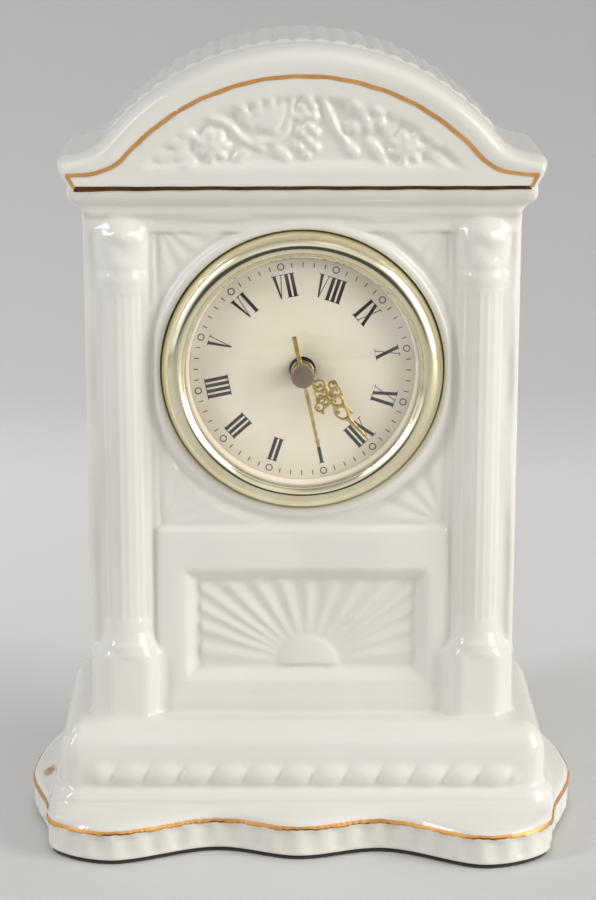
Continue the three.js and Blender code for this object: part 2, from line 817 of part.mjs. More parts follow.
function pediment() {
  const front = earsAndArch(
    new THREE.Vector2(EAR_HALF_X, EAR_LINE_Z),
    GILT_SWEEP_Z,
    arch(GILT_ARCH_R, GILT_CROWN_Z, GILT_SPRING_X, ARCH_POINTS),
  );
  const roof = earsAndArch(
    new THREE.Vector2(EAR_SIDE_X, EAR_SIDE_Z),
    EAR_SIDE_Z,
    arch(ROOF_ARCH_R, ROOF_CROWN_Z, ROOF_SPRING_X, ARCH_POINTS),
  );
  const turns = ROLL_SHARES.map((share) => share * QUARTER);
  const rings = turns.map((turn) => blend(front, roof, Math.sin(turn))).reverse();
  const depth = PEDIMENT_ROUND_Y - PEDIMENT_FRONT;
  const depths = turns.map((turn) => PEDIMENT_FRONT + depth * (1 - Math.cos(turn))).reverse();
  return facingLoft(
    [blend(front, roof, PEDIMENT_BACK_EASE), roof, ...rings],
    [PEDIMENT_BACK, PEDIMENT_BACK - PEDIMENT_BACK_ROUND, ...depths],
  );
}

function roofRibs() {
  const lift = [RIB_VALLEY, RIB_CREST, RIB_CREST];
  const perRib = lift.length;
  const swing = Math.asin(RIB_HALF_X / ROOF_ARCH_R);
  const centre = ROOF_CROWN_Z - ROOF_ARCH_R;
  const count = RIB_COUNT * perRib;
  const top = Array.from({ length: count + 1 }, (_, i) => {
    const turn = swing * (1 - (2 * i) / count);
    const radius = ROOF_ARCH_R + RIB_TALL * lift[i % perRib];
    return new THREE.Vector2(radius * Math.sin(turn), centre + radius * Math.cos(turn));
  });
  const root = 2 * LAP;
  const under = arch(ROOF_ARCH_R - root, ROOF_CROWN_Z - root, RIB_HALF_X - root, ARCH_POINTS_COARSE);
  const ring = [...top, ...under];
  return facingLoft([ring, ring], [PEDIMENT_BACK - PEDIMENT_BACK_ROUND, PEDIMENT_ROUND_Y]);
}

function cornice() {
  const ring = (out, front) => [
    [-BODY_HALF_X - out, CORNICE_BACK],
    [-BODY_HALF_X - out, front],
    [BODY_HALF_X + out, front],
    [BODY_HALF_X + out, CORNICE_BACK],
  ].map(([x, y]) => new THREE.Vector2(x, y));
  return standingLoft(
    [
      ring(-LAP, WALL_Y),
      ring(0, WALL_Y - CORNICE_FILLET),
      ring(0, WALL_Y - CORNICE_FILLET),
      ring(CORNICE_SIDE_OUT, CORNICE_FRONT),
      ring(CORNICE_SIDE_OUT, CORNICE_FRONT),
      ring(CORNICE_SIDE_OUT, PEDIMENT_FRONT),
    ],
    [
      BODY_TOP_Z - 2 * CORNICE_FILLET,
      BODY_TOP_Z - LAP,
      BODY_TOP_Z + LAP,
      CORNICE_COVE_Z,
      DARK_LINE_Z - LAP,
      DARK_LINE_Z + LAP / 2,
    ],
  );
}

function tympanum() {
  const crown = GILT_CROWN_Z - TYMPANUM_INSET;
  const top = arch(GILT_ARCH_R - TYMPANUM_INSET, crown, TYMPANUM_HALF_X, ARCH_POINTS).reverse();
  const floor = DARK_LINE_Z + TYMPANUM_INSET;
  const base = [-TYMPANUM_HALF_X, TYMPANUM_HALF_X].map((x) => new THREE.Vector2(x, floor));
  const ring = [...base, ...top];
  const middle = new THREE.Vector2(0, (floor + crown) / 2);
  const narrow = ring.map((point) => point.clone().lerp(middle, TYMPANUM_EASE));
  return facingLoft(
    [narrow, ring, ring],
    [PEDIMENT_FRONT + TYMPANUM_DEEP, PEDIMENT_FRONT, PEDIMENT_FRONT - LAP],
  );
}

// Garland in the pediment: a bunch of grapes between two sprays of leaves with a flower in each
function garland() {
  const back = PEDIMENT_FRONT + TYMPANUM_DEEP;
  const top = DARK_LINE_Z + GRAPE_TOP;
  const solids = [];
  for (let row = 0; row < GRAPE_ROWS; row += 1) {
    const count = Math.ceil((GRAPE_ROWS - row + 1) / 2);
    for (let i = 0; i < count; i += 1) {
      const x = (i - (count - 1) / 2) * GRAPE_PITCH;
      solids.push(bead(GRAPE_R, GARLAND_RELIEF, GRAPE_R, 0, x, back, top - row * GRAPE_DROP));
    }
  }
  for (const side of [-1, 1]) {
    for (const { x, up, long, wide, tilt } of SPRAY) {
      solids.push(bead(long, GARLAND_RELIEF, wide, side * tilt, side * x, back, DARK_LINE_Z + up));
    }
  }
  return join(solids);
}

function cavity() {
  const inner = roundedOutline(
    SLAB_HALF_X - WALL,
    SLAB_FRONT - WALL,
    SLAB_BACK - WALL,
    SLAB_CORNER,
    SIDES_MEDIUM,
  );
  const drop = DARK_LINE_Z + LAP;
  const roof = arch(ROOF_ARCH_R - WALL, ROOF_CROWN_Z - WALL - LAP, ROOF_SPRING_X - WALL, ARCH_POINTS_COARSE);
  const under = [new THREE.Vector2(BODY_HALF_X - WALL, drop), new THREE.Vector2(WALL - BODY_HALF_X, drop)];
  const ring = [...roof, ...under].reverse();
  return join([
    standingLoft([inner, inner], [FELT_THICK - LAP, SLAB_SHOULDER_Z]),
    box(
      WALL - BODY_HALF_X,
      BODY_HALF_X - WALL,
      FRONT_INNER_Y,
      BODY_BACK - WALL,
      SLAB_SHOULDER_Z - LAP,
      drop + LAP,
    ),
    facingLoft([ring, ring], [PEDIMENT_BACK - WALL - PEDIMENT_BACK_ROUND, PEDIMENT_ROUND_Y - LAP]),
  ]);
}

function porcelainCase() {
  const outside = join([
    footAndFlange(),
    slab(),
    rope(),
    bodyBlock(),
    column().translate([COLUMN_X, COLUMN_Y, 0]),
    column().translate([-COLUMN_X, COLUMN_Y, 0]),
    cornice(),
    pediment(),
    roofRibs(),
  ]);
  const axis = [0, 0, DIAL_Z];
  const seatY = DIAL_Y + SEAT_DEPTH;
  const relief = join([
    sunburst(),
    sill(),
    bezelRing().translate(axis),
    garland(),
  ]);
  return outside
    .subtract(upperPanel())
    .subtract(lowerPanel())
    .subtract(tympanum())
    .add(relief)
    .subtract(rod(RECESS_R, PEDIMENT_FRONT - LAP, seatY, SIDES_LARGE).translate(axis))
    .subtract(rod(BORE_R, seatY - LAP, BODY_BACK - WALL - LAP, SIDES_LARGE).translate(axis))
    .subtract(rod(REAR_HOLE_R, BODY_BACK - WALL - LAP, BODY_BACK + WALL, SIDES_MEDIUM).translate(axis))
    .subtract(cavity());
}

function feltPad() {
  const ring = inward(footOutline(SIDES_FOOT), () => FELT_INSET);
  return standingLoft([ring, ring], [0, FELT_THICK]);
}

// Insert: bezel, lens, dial ring, dial

function bezel() {
  const outline = [
    [BEZEL_HEM_IN_R, SEAT_DEPTH],
    [BEZEL_R, SEAT_DEPTH],
    [BEZEL_R, SEAT_DEPTH - BEZEL_BAND],
  ];
  const rise = SEAT_DEPTH - BEZEL_BAND - BEZEL_CREST;
  for (const share of CREST_SHARES) {
    const turn = share * QUARTER;
    outline.push([
      BEZEL_CREST_R + (BEZEL_R - BEZEL_CREST_R) * Math.cos(turn),
      SEAT_DEPTH - BEZEL_BAND - rise * Math.sin(turn),
    ]);
  }
  outline.push(
    [(BEZEL_CREST_R + BEZEL_LIP_R) / 2, (BEZEL_CREST + BEZEL_LIP) / 2 - BEZEL_LIP_CROWN],
    [BEZEL_LIP_R, BEZEL_LIP],
    [BEZEL_LIP_R, BEZEL_LIP + BEZEL_LIP_THICK],
    [BEZEL_BORE_R, BEZEL_LIP + BEZEL_LIP_THICK],
    [BEZEL_BORE_R, SEAT_DEPTH - BEZEL_HEM],
    [BEZEL_HEM_IN_R, SEAT_DEPTH - BEZEL_HEM],
  );
  return turned(outline, SIDES_LARGE);
}

function domeDepth(sphere, edgeRadius, edgeDepth, radius) {
  const centre = edgeDepth + Math.sqrt(sphere ** 2 - edgeRadius ** 2);
  return centre - Math.sqrt(sphere ** 2 - radius ** 2);
}

function lens() {
  const dome = (radius) => domeDepth(LENS_SPHERE_R, BEZEL_LIP_R, BEZEL_LIP, radius);
  const radii = ROUND_SHARES.slice(1).map((share) => share * LENS_FACE_R);
  const seat = BEZEL_LIP + BEZEL_LIP_THICK + FIT / 2;
  const outside = radii.map((radius) => [radius, dome(radius)]);
  const inside = radii.slice(0, -1).reverse().map((radius) => [radius, dome(radius) + LENS_THICK]);
  return turned([
    [0, dome(0)],
    ...outside,
    [LENS_FACE_R, seat],
    [LENS_R, seat],
    [LENS_R, LENS_EDGE],
    [LENS_FACE_R - LENS_SILL, LENS_EDGE],
    ...inside,
    [0, dome(0) + LENS_THICK],
  ], SIDES_LARGE);
}

function dialRing() {
  return turned([
    [DIAL_RING_IN_R + DIAL_RING_SLOPE, LENS_EDGE + FIT / 2],
    [LENS_R, LENS_EDGE + FIT / 2],
    [LENS_R, -FIT / 2],
    [DIAL_RING_IN_R, -FIT / 2],
  ], SIDES_LARGE);
}

function dial() {
  const shape = shapeOf(circle(DIAL_R, SIDES_LARGE), [circle(DIAL_HOLE_R, SIDES_SMALL)]);
  return plate(shape, 0, DIAL_THICK);
}

// Train layout in the front view of an upright dial

const motionReach = (MOTION_MODULE * (CANNON_TEETH + MINUTE_WHEEL_TEETH)) / 2;
const hourModule = (2 * motionReach) / (MINUTE_PINION_TEETH + HOUR_TEETH);
const knobReach = motionReach + (MOTION_MODULE * (KNOB_TEETH + MINUTE_WHEEL_TEETH)) / 2;
const thirdReach = (THIRD_MODULE * (THIRD_PINION_TEETH + CENTRE_TEETH)) / 2;
const thirdWheelModule = (2 * thirdReach) / (THIRD_TEETH + SECONDS_PINION_TEETH);
const intermediateReach = (SECONDS_MODULE * (SECONDS_TEETH + INTERMEDIATE_PINION_TEETH)) / 2;
const rotorReach = (ROTOR_MODULE * (INTERMEDIATE_TEETH + ROTOR_TEETH)) / 2;
const minuteAxis = at(motionReach, MINUTE_ANGLE);
const knobAxis = at(knobReach, MINUTE_ANGLE);
const thirdAxis = at(thirdReach, THIRD_ANGLE);
const intermediateAxis = at(intermediateReach, INTERMEDIATE_ANGLE);
const rotorAxis = at(rotorReach, ROTOR_ANGLE).add(intermediateAxis);
const centreAxis = new THREE.Vector2();
const bridgeBack = BRIDGE_DEPTH + BRIDGE_THICK;
const boardBack = bridgeBack + BOARD_THICK;
const coverBack = CUP_BACK + COVER_THICK;

// Gear with straight-flanked teeth and free play between them, one tooth centred on the given angle
function gear(teeth, module, toothAt, near, far, x, z, boreR) {
  const pitchR = (module * teeth) / 2;
  const tipR = pitchR + module * TOOTH_TIP;
  const rootR = pitchR - module * TOOTH_ROOT;
  const step = (2 * Math.PI) / teeth;
  const points = [];
  for (let i = 0; i < teeth; i += 1) {
    const middle = THREE.MathUtils.degToRad(toothAt) + i * step;
    points.push(
      polar(rootR, middle - step * TOOTH_ROOT_HALF),
      polar(tipR, middle - step * TOOTH_TIP_HALF),
      polar(tipR, middle + step * TOOTH_TIP_HALF),
      polar(rootR, middle + step * TOOTH_ROOT_HALF),
    );
  }
  const holes = boreR ? [clearCircle(boreR, SIDES_SMALL)] : [];
  return plate(shapeOf(points, holes), near, far).translate([x, 0, z]);
}

function gapAt(teeth, degrees) {
  return degrees + HALF_TURN / teeth;
}

function pivoted(radius, near, far, x, z) {
  return join([
    rod(radius, near + FIT, far - FIT, SIDES_PIVOT, x, z),
    rod(PIVOT_R, near - PIVOT_REACH, far + PIVOT_REACH, SIDES_PIVOT, x, z),
  ]);
}

const cupInside = CUP_FRONT + CUP_WALL;

function wheel(teeth, module, toothAt, depth, axis, boreR) {
  return gear(teeth, module, toothAt, depth, depth + TRAIN_THICK, axis.x, axis.y, boreR);
}

// A pinion is a little thicker than the wheel that it turns with
function pinion(teeth, module, toothAt, depth, axis, boreR) {
  const near = depth - PINION_LEAD;
  return gear(teeth, module, toothAt, near, near + PINION_THICK, axis.x, axis.y, boreR);
}

function rotor() {
  const { x, y } = rotorAxis;
  const mesh = gapAt(ROTOR_TEETH, ROTOR_ANGLE + HALF_TURN);
  return join([
    pivoted(ARBOR_R, cupInside, BRIDGE_DEPTH, x, y),
    rod(MAGNET_R, MAGNET_DEPTH, MAGNET_DEPTH + MAGNET_LONG, SIDES_SMALL, x, y),
    pinion(ROTOR_TEETH, ROTOR_MODULE, mesh, INTERMEDIATE_DEPTH, rotorAxis),
  ]);
}

function intermediateWheel() {
  const { x, y } = intermediateAxis;
  const mesh = gapAt(INTERMEDIATE_PINION_TEETH, INTERMEDIATE_ANGLE + HALF_TURN);
  return join([
    pivoted(ARBOR_R, cupInside, BRIDGE_DEPTH, x, y),
    wheel(INTERMEDIATE_TEETH, ROTOR_MODULE, ROTOR_ANGLE, INTERMEDIATE_DEPTH, intermediateAxis),
    pinion(INTERMEDIATE_PINION_TEETH, SECONDS_MODULE, mesh, SECONDS_DEPTH, intermediateAxis),
  ]);
}

function secondsWheel() {
  const mesh = gapAt(SECONDS_PINION_TEETH, THIRD_ANGLE);
  return join([
    rod(SECONDS_ARBOR_R, SECONDS_HAND_FRONT - ARBOR_PROUD, BRIDGE_DEPTH - FIT, SIDES_SMALL),
    rod(PIVOT_R, BRIDGE_DEPTH - LAP, BRIDGE_DEPTH + PIVOT_REACH, SIDES_PIVOT),
    wheel(SECONDS_TEETH, SECONDS_MODULE, INTERMEDIATE_ANGLE, SECONDS_DEPTH, centreAxis),
    pinion(SECONDS_PINION_TEETH, thirdWheelModule, mesh, THIRD_DEPTH, centreAxis),
  ]);
}

function thirdWheel() {
  const { x, y } = thirdAxis;
  const mesh = gapAt(THIRD_PINION_TEETH, THIRD_ANGLE + HALF_TURN);
  return join([
    pivoted(ARBOR_R, cupInside, BRIDGE_DEPTH, x, y),
    wheel(THIRD_TEETH, thirdWheelModule, THIRD_ANGLE + HALF_TURN, THIRD_DEPTH, thirdAxis),
    pinion(THIRD_PINION_TEETH, THIRD_MODULE, mesh, CENTRE_DEPTH, thirdAxis),
  ]);
}

function centreWheel() {
  return wheel(CENTRE_TEETH, THIRD_MODULE, THIRD_ANGLE, CENTRE_DEPTH, centreAxis, MINUTE_TUBE_R + RUN);
}

function minuteArbor() {
  const tube = turned([
    [MINUTE_TUBE_IN_R, MINUTE_HAND_FRONT - ARBOR_PROUD],
    [MINUTE_TUBE_R, MINUTE_HAND_FRONT - ARBOR_PROUD],
    [MINUTE_TUBE_R, THIRD_DEPTH - FIT],
    [MINUTE_TUBE_IN_R, THIRD_DEPTH - FIT],
  ], SIDES_SMALL);
  const mesh = gapAt(CANNON_TEETH, MINUTE_ANGLE);
  const boreR = (MINUTE_TUBE_IN_R + MINUTE_TUBE_R) / 2;
  return tube.add(pinion(CANNON_TEETH, MOTION_MODULE, mesh, CANNON_DEPTH, centreAxis, boreR));
}

function minuteWheel() {
  const boreR = ARBOR_R + RUN;
  const mesh = gapAt(MINUTE_PINION_TEETH, MINUTE_ANGLE + HALF_TURN);
  const near = HOUR_DEPTH - PINION_LEAD;
  const far = CANNON_DEPTH + PINION_LEAD;
  return wheel(MINUTE_WHEEL_TEETH, MOTION_MODULE, MINUTE_ANGLE, CANNON_DEPTH, minuteAxis, boreR)
    .add(gear(MINUTE_PINION_TEETH, hourModule, mesh, near, far, minuteAxis.x, minuteAxis.y, boreR));
}

function hourWheel() {
  const pipe = turned([
    [HOUR_PIPE_IN_R, HOUR_HAND_FRONT - ARBOR_PROUD],
    [HOUR_PIPE_R, HOUR_HAND_FRONT - ARBOR_PROUD],
    [HOUR_PIPE_R, HOUR_DEPTH + TRAIN_THICK],
    [HOUR_PIPE_IN_R, HOUR_DEPTH + TRAIN_THICK],
  ], SIDES_SMALL);
  const boreR = (HOUR_PIPE_IN_R + HOUR_PIPE_R) / 2;
  return pipe.add(wheel(HOUR_TEETH, hourModule, MINUTE_ANGLE, HOUR_DEPTH, centreAxis, boreR));
}

// Hands: the long way is towards XII, then each is turned to its place

function serpentineHand({ long, ringAt, scrollAt, spadeAt, hubR, boreR, front, angle }) {
  const back = front + HAND_THICK;
  const blade = (from, to, half) => plate(shapeOf([
    new THREE.Vector2(-half, from),
    new THREE.Vector2(half, from),
    new THREE.Vector2(half * HAND_TAPER, to),
    new THREE.Vector2(-half * HAND_TAPER, to),
  ]), front, back);
  const ring = (x, z) => plate(shapeOf(
    circle(HAND_RING_R, SIDES_SCROLL, x, z),
    [circle(HAND_RING_R - HAND_RING_WIDE, SIDES_SCROLL, x, z)],
  ), front, back);
  const near = HAND_RING_R - HAND_LAP;
  return join([
    plate(shapeOf(circle(hubR, SIDES_SMALL), [clearCircle(boreR, SIDES_SMALL)]), front, back),
    blade(hubR - HAND_LAP, ringAt - near, HAND_STEM_HALF),
    ring(0, ringAt),
    ring(-HAND_SCROLL_X, scrollAt),
    ring(HAND_SCROLL_X, scrollAt),
    blade(ringAt + near, spadeAt - near, HAND_BLADE_HALF),
    ring(0, spadeAt),
    blade(spadeAt + near, long, HAND_POINT_HALF),
  ]).rotate([0, THREE.MathUtils.radToDeg(angle), 0]);
}

function hourHand() {
  return serpentineHand({
    long: HOUR_HAND_LONG,
    ringAt: HOUR_RING_AT,
    scrollAt: HOUR_SCROLL_AT,
    spadeAt: HOUR_SPADE_AT,
    hubR: HOUR_HUB_R,
    boreR: HOUR_PIPE_R + RUN / 2,
    front: HOUR_HAND_FRONT,
    angle: HOUR_HAND_AT,
  });
}

function minuteHand() {
  return serpentineHand({
    long: MINUTE_HAND_LONG,
    ringAt: MINUTE_RING_AT,
    scrollAt: MINUTE_SCROLL_AT,
    spadeAt: MINUTE_SPADE_AT,
    hubR: MINUTE_HUB_R,
    boreR: MINUTE_TUBE_R + RUN / 2,
    front: MINUTE_HAND_FRONT,
    angle: MINUTE_HAND_AT,
  });
}

function secondsHand() {
  const needle = shapeOf([
    new THREE.Vector2(-SECONDS_HAND_HALF, -SECONDS_TAIL),
    new THREE.Vector2(SECONDS_HAND_HALF, -SECONDS_TAIL),
    new THREE.Vector2(SECONDS_HAND_HALF * SECONDS_TIP, SECONDS_HAND_LONG),
    new THREE.Vector2(-SECONDS_HAND_HALF * SECONDS_TIP, SECONDS_HAND_LONG),
  ]);
  const socket = SECONDS_HAND_FRONT - CAP_SOCKET;
  const cap = turned([
    [0, CAP_FRONT],
    [CAP_R - CAP_EDGE, CAP_FRONT],
    [CAP_R, CAP_FRONT + CAP_EDGE],
    [CAP_R, SECONDS_HAND_FRONT + HAND_THICK],
    [SECONDS_ARBOR_R + RUN / 2, SECONDS_HAND_FRONT + HAND_THICK],
    [SECONDS_ARBOR_R + RUN / 2, socket],
    [0, socket],
  ], SIDES_CAP);
  const hole = drill(SECONDS_ARBOR_R + RUN / 2, socket, SECONDS_HAND_FRONT + LAP, SIDES_SMALL);
  return plate(needle, SECONDS_HAND_FRONT, SECONDS_HAND_FRONT + HAND_THICK)
    .rotate([0, THREE.MathUtils.radToDeg(SECONDS_HAND_AT), 0])
    .add(cap)
    .subtract(hole);
}

// Movement cup: front wall with pivot holes, bush round the hour pipe, pillars, bosses and stud

function pivotHole(axis, near, far) {
  return drill(PIVOT_R + RUN, near, far, SIDES_PIVOT, axis.x, axis.y);
}

function knobHole(play, near, far) {
  return drill(KNOB_SHAFT_R + play, near - LAP, far + LAP, SIDES_SMALL, knobAxis.x, knobAxis.y);
}

function movementCup() {
  const shell = turned([
    [BUSH_HOLE_R, BUSH_FRONT],
    [BUSH_R, BUSH_FRONT],
    [BUSH_R, CUP_FRONT],
    [CUP_FLANGE_R, CUP_FRONT],
    [CUP_FLANGE_R, cupInside],
    [CUP_R, cupInside],
    [CUP_R, CUP_BACK],
    [CUP_R - CUP_WALL, CUP_BACK],
    [CUP_R - CUP_WALL, cupInside],
    [BUSH_HOLE_R, cupInside],
  ], SIDES_MEDIUM);
  const pillars = PILLAR_ANGLES.map((degrees) => {
    const { x, y } = at(PILLAR_AT, degrees);
    return rod(PILLAR_R, cupInside - LAP / 2, BRIDGE_DEPTH, SIDES_PIVOT, x, y)
      .subtract(drill(SCREW_R + RUN, bridgeBack - SCREW_LONG - FIT, BRIDGE_DEPTH + LAP, SIDES_PIVOT, x, y));
  });
  const bosses = BOSS_ANGLES.map((degrees) => {
    const { x, y } = at(BOSS_AT, degrees);
    return rod(BOSS_R, cupInside - LAP / 2, CUP_BACK, SIDES_PIVOT, x, y);
  });
  const bossHoles = BOSS_ANGLES.map((degrees) => {
    const { x, y } = at(BOSS_AT, degrees);
    return drill(SCREW_R + RUN, coverBack - SCREW_LONG - FIT, CUP_BACK + LAP, SIDES_PIVOT, x, y);
  });
  const posts = [
    [-STATOR_POST_X, STATOR_POST_LOW],
    [STATOR_POST_X, STATOR_POST_LOW],
    [STATOR_POST_X, STATOR_POST_TOP],
  ].map(([x, z]) => (
    rod(STATOR_POST_R, cupInside - LAP / 2, STATOR_DEPTH, SIDES_PIVOT, rotorAxis.x + x, rotorAxis.y + z)
  ));
  const studEnd = CANNON_DEPTH + TRAIN_THICK;
  const stud = rod(ARBOR_R, cupInside - LAP / 2, studEnd, SIDES_SMALL, minuteAxis.x, minuteAxis.y);
  return join([shell, ...pillars, ...bosses, ...posts, stud])
    .subtract(join([
      ...bossHoles,
      pivotHole(rotorAxis, 0, cupInside + LAP),
      pivotHole(intermediateAxis, 0, cupInside + LAP),
      pivotHole(thirdAxis, 0, cupInside + LAP),
      pivotHole(knobAxis, 0, cupInside + LAP),
    ]));
}

function trainBridge() {
  const plateBody = rod(BRIDGE_R, BRIDGE_DEPTH, bridgeBack, SIDES_MEDIUM);
  const holes = [rotorAxis, intermediateAxis, thirdAxis, new THREE.Vector2()]
    .map((axis) => pivotHole(axis, BRIDGE_DEPTH - LAP, bridgeBack + LAP));
  const screwHoles = PILLAR_ANGLES.map((degrees) => {
    const { x, y } = at(PILLAR_AT, degrees);
    return drill(SCREW_R + RUN, BRIDGE_DEPTH - LAP, bridgeBack + LAP, SIDES_PIVOT, x, y);
  });
  return plateBody.subtract(join([...holes, ...screwHoles, knobHole(RUN, BRIDGE_DEPTH, bridgeBack)]));
}

function screw(x, z, seat) {
  const head = rod(SCREW_HEAD_R, seat, seat + SCREW_HEAD, SIDES_PIVOT, x, z);
  const shank = rod(SCREW_R, seat - SCREW_LONG, seat + SCREW_HEAD / 2, SIDES_PIVOT, x, z);
  const slot = box(
    x - SCREW_HEAD_R, x + SCREW_HEAD_R,
    seat + SCREW_HEAD - SLOT_DEEP, seat + SCREW_HEAD + LAP,
    z - SLOT_WIDE / 2, z + SLOT_WIDE / 2,
  );
  return head.add(shank).subtract(slot);
}

// Motor

function stator() {
  const { x, y } = rotorAxis;
  const outline = [
    [-STATOR_HALF_X, -STATOR_LOW],
    [STATOR_HALF_X, -STATOR_LOW],
    [STATOR_HALF_X, STATOR_TOP_Z - y],
    [STATOR_NOTCH_HALF, STATOR_TOP_Z - y],
    [STATOR_NOTCH_HALF, STATOR_NOTCH_Z],
    [-STATOR_NOTCH_HALF, STATOR_NOTCH_Z],
    [-STATOR_NOTCH_HALF, STATOR_TOP_Z - y],
    [-STATOR_HALF_X, STATOR_TOP_Z - y],
  ].map(([px, pz]) => new THREE.Vector2(px, pz));
  return plate(
    shapeOf(outline, [circle(MAGNET_R + MAGNET_GAP, SIDES_SMALL)]),
    STATOR_DEPTH,
    STATOR_DEPTH + STATOR_THICK,
  ).translate([x, 0, y]);
}

function coilCore() {
  const near = STATOR_DEPTH + STATOR_THICK;
  return box(
    rotorAxis.x - STATOR_HALF_X, rotorAxis.x + STATOR_HALF_X,
    near, near + CORE_THICK,
    CORE_Z - CORE_HALF_Z, CORE_Z + CORE_HALF_Z,
  );
}

function coilWinding() {
  const middle = STATOR_DEPTH + STATOR_THICK + CORE_THICK / 2;
  const geometry = new THREE.CylinderGeometry(COIL_R, COIL_R, 2 * COIL_HALF_X, SIDES_SMALL);
  geometry.rotateZ(QUARTER);
  geometry.translate(rotorAxis.x, middle, CORE_Z);
  const gap = RUN * 2;
  return toSolid(geometry).subtract(box(
    rotorAxis.x - STATOR_HALF_X, rotorAxis.x + STATOR_HALF_X,
    middle - CORE_THICK / 2 - gap, middle + CORE_THICK / 2 + gap,
    CORE_Z - CORE_HALF_Z - gap, CORE_Z + CORE_HALF_Z + gap,
  ));
}

// Circuit and cell

function circuitBoard() {
  return box(BOARD_LEFT, BOARD_RIGHT, bridgeBack, boardBack, BOARD_LOW, BOARD_TOP)
    .subtract(knobHole(FIT, bridgeBack, boardBack));
}

function chip() {
  return box(
    CHIP_X - CHIP_SIDE / 2, CHIP_X + CHIP_SIDE / 2,
    boardBack, boardBack + CHIP_TALL,
    CHIP_Z - CHIP_SIDE / 2, CHIP_Z + CHIP_SIDE / 2,
  );
}

function quartzCrystal() {
  const geometry = new THREE.CylinderGeometry(CRYSTAL_R, CRYSTAL_R, CRYSTAL_LONG, SIDES_SMALL);
  geometry.rotateZ(QUARTER);
  geometry.translate(CRYSTAL_X + CRYSTAL_LONG / 2, boardBack + CRYSTAL_R + CRYSTAL_LIFT, CRYSTAL_Z);
  return toSolid(geometry);
}

const cellFront = boardBack + CONTACT_THICK;

function buttonCell() {
  const outline = [
    [0, cellFront],
    [CELL_STEP_R, cellFront],
    [CELL_STEP_R, cellFront + CELL_STEP],
    [CELL_R, cellFront + CELL_CAN],
    [CELL_R, cellFront + CELL_TALL - CELL_EDGE],
    [CELL_R - CELL_EDGE, cellFront + CELL_TALL],
    [0, cellFront + CELL_TALL],
  ];
  return turned(outline, SIDES_CELL).translate([CELL_X, 0, CELL_Z]);
}

function negativeContact() {
  return box(
    CELL_X - CONTACT_REACH, CELL_X + CONTACT_REACH,
    boardBack, cellFront,
    CELL_Z - CONTACT_HALF, CELL_Z + CONTACT_HALF,
  );
}

function positiveContact() {
  const low = CELL_Z + CELL_R + RUN;
  const foot = box(
    CELL_X - CONTACT_HALF, CELL_X + CONTACT_HALF,
    boardBack, boardBack + CONTACT_THICK,
    low, BOARD_TOP + CONTACT_HEEL,
  );
  const leaf = box(
    CELL_X - CONTACT_HALF, CELL_X + CONTACT_HALF,
    boardBack, CUP_BACK - FIT,
    low, low + CONTACT_THICK,
  );
  return foot.add(leaf);
}

// Rear cover with the cell opening, the collar round the cell and the rails of the hatch

function rearCover() {
  const hole = clearCircle(CELL_R + FIT, SIDES_CELL, CELL_X, CELL_Z);
  const cover = plate(shapeOf(circle(CUP_R, SIDES_MEDIUM), [hole]), CUP_BACK, coverBack);
  const collarR = CELL_R + FIT;
  const collarPoints = [];
  for (const [radius, way] of [[collarR, 1], [collarR + COLLAR_WALL, -1]]) {
    for (let i = 0; i <= COLLAR_STEPS; i += 1) {
      const share = way > 0 ? i / COLLAR_STEPS : 1 - i / COLLAR_STEPS;
      collarPoints.push(polar(radius, -Math.PI * share).add({ x: CELL_X, y: CELL_Z }));
    }
  }
  const collar = plate(shapeOf(collarPoints), boardBack + FIT, CUP_BACK + COLLAR_ROOT);
  const railNear = HATCH_HALF_X + FIT;
  const low = CELL_Z - HATCH_LONG / 2;
  const top = low + HATCH_LONG + HATCH_TRAVEL;
  const lipNear = coverBack + HATCH_THICK + FIT;
  const lipFar = lipNear + RAIL_LIP_THICK;
  const rails = [-1, 1].flatMap((side) => {
    const inner = CELL_X + side * railNear;
    const outer = inner + side * RAIL_WIDE;
    const lip = inner - side * RAIL_LIP;
    return [
      box(Math.min(inner, outer), Math.max(inner, outer), CUP_BACK + COLLAR_ROOT, lipFar, low, top),
      box(Math.min(lip, outer), Math.max(lip, outer), lipNear, lipFar, low, top),
    ];
  });
  const screwHoles = BOSS_ANGLES.map((degrees) => {
    const { x, y } = at(BOSS_AT, degrees);
    return drill(SCREW_R + RUN, CUP_BACK - LAP, coverBack + LAP, SIDES_PIVOT, x, y);
  });
  const rim = rod(CUP_R, boardBack, lipFar + LAP, SIDES_MEDIUM);
  return join([cover, collar, ...rails])
    .intersect(rim)
    .subtract(join([...screwHoles, knobHole(RUN, CUP_BACK, coverBack)]));
}

function batteryHatch() {
  const low = CELL_Z - HATCH_LONG / 2;
  const flat = box(
    CELL_X - HATCH_HALF_X, CELL_X + HATCH_HALF_X,
    coverBack, coverBack + HATCH_THICK,
    low, low + HATCH_LONG,
  );
  const grips = Array.from({ length: HATCH_GRIPS }, (_, i) => box(
    CELL_X - HATCH_HALF_X / 2, CELL_X + HATCH_HALF_X / 2,
    coverBack + HATCH_THICK / 2, coverBack + HATCH_THICK + HATCH_GRIP,
    low + (i + 1) * HATCH_GRIP_PITCH, low + (i + 1) * HATCH_GRIP_PITCH + HATCH_GRIP_WIDE,
  ));
  return join([flat, ...grips]);
}

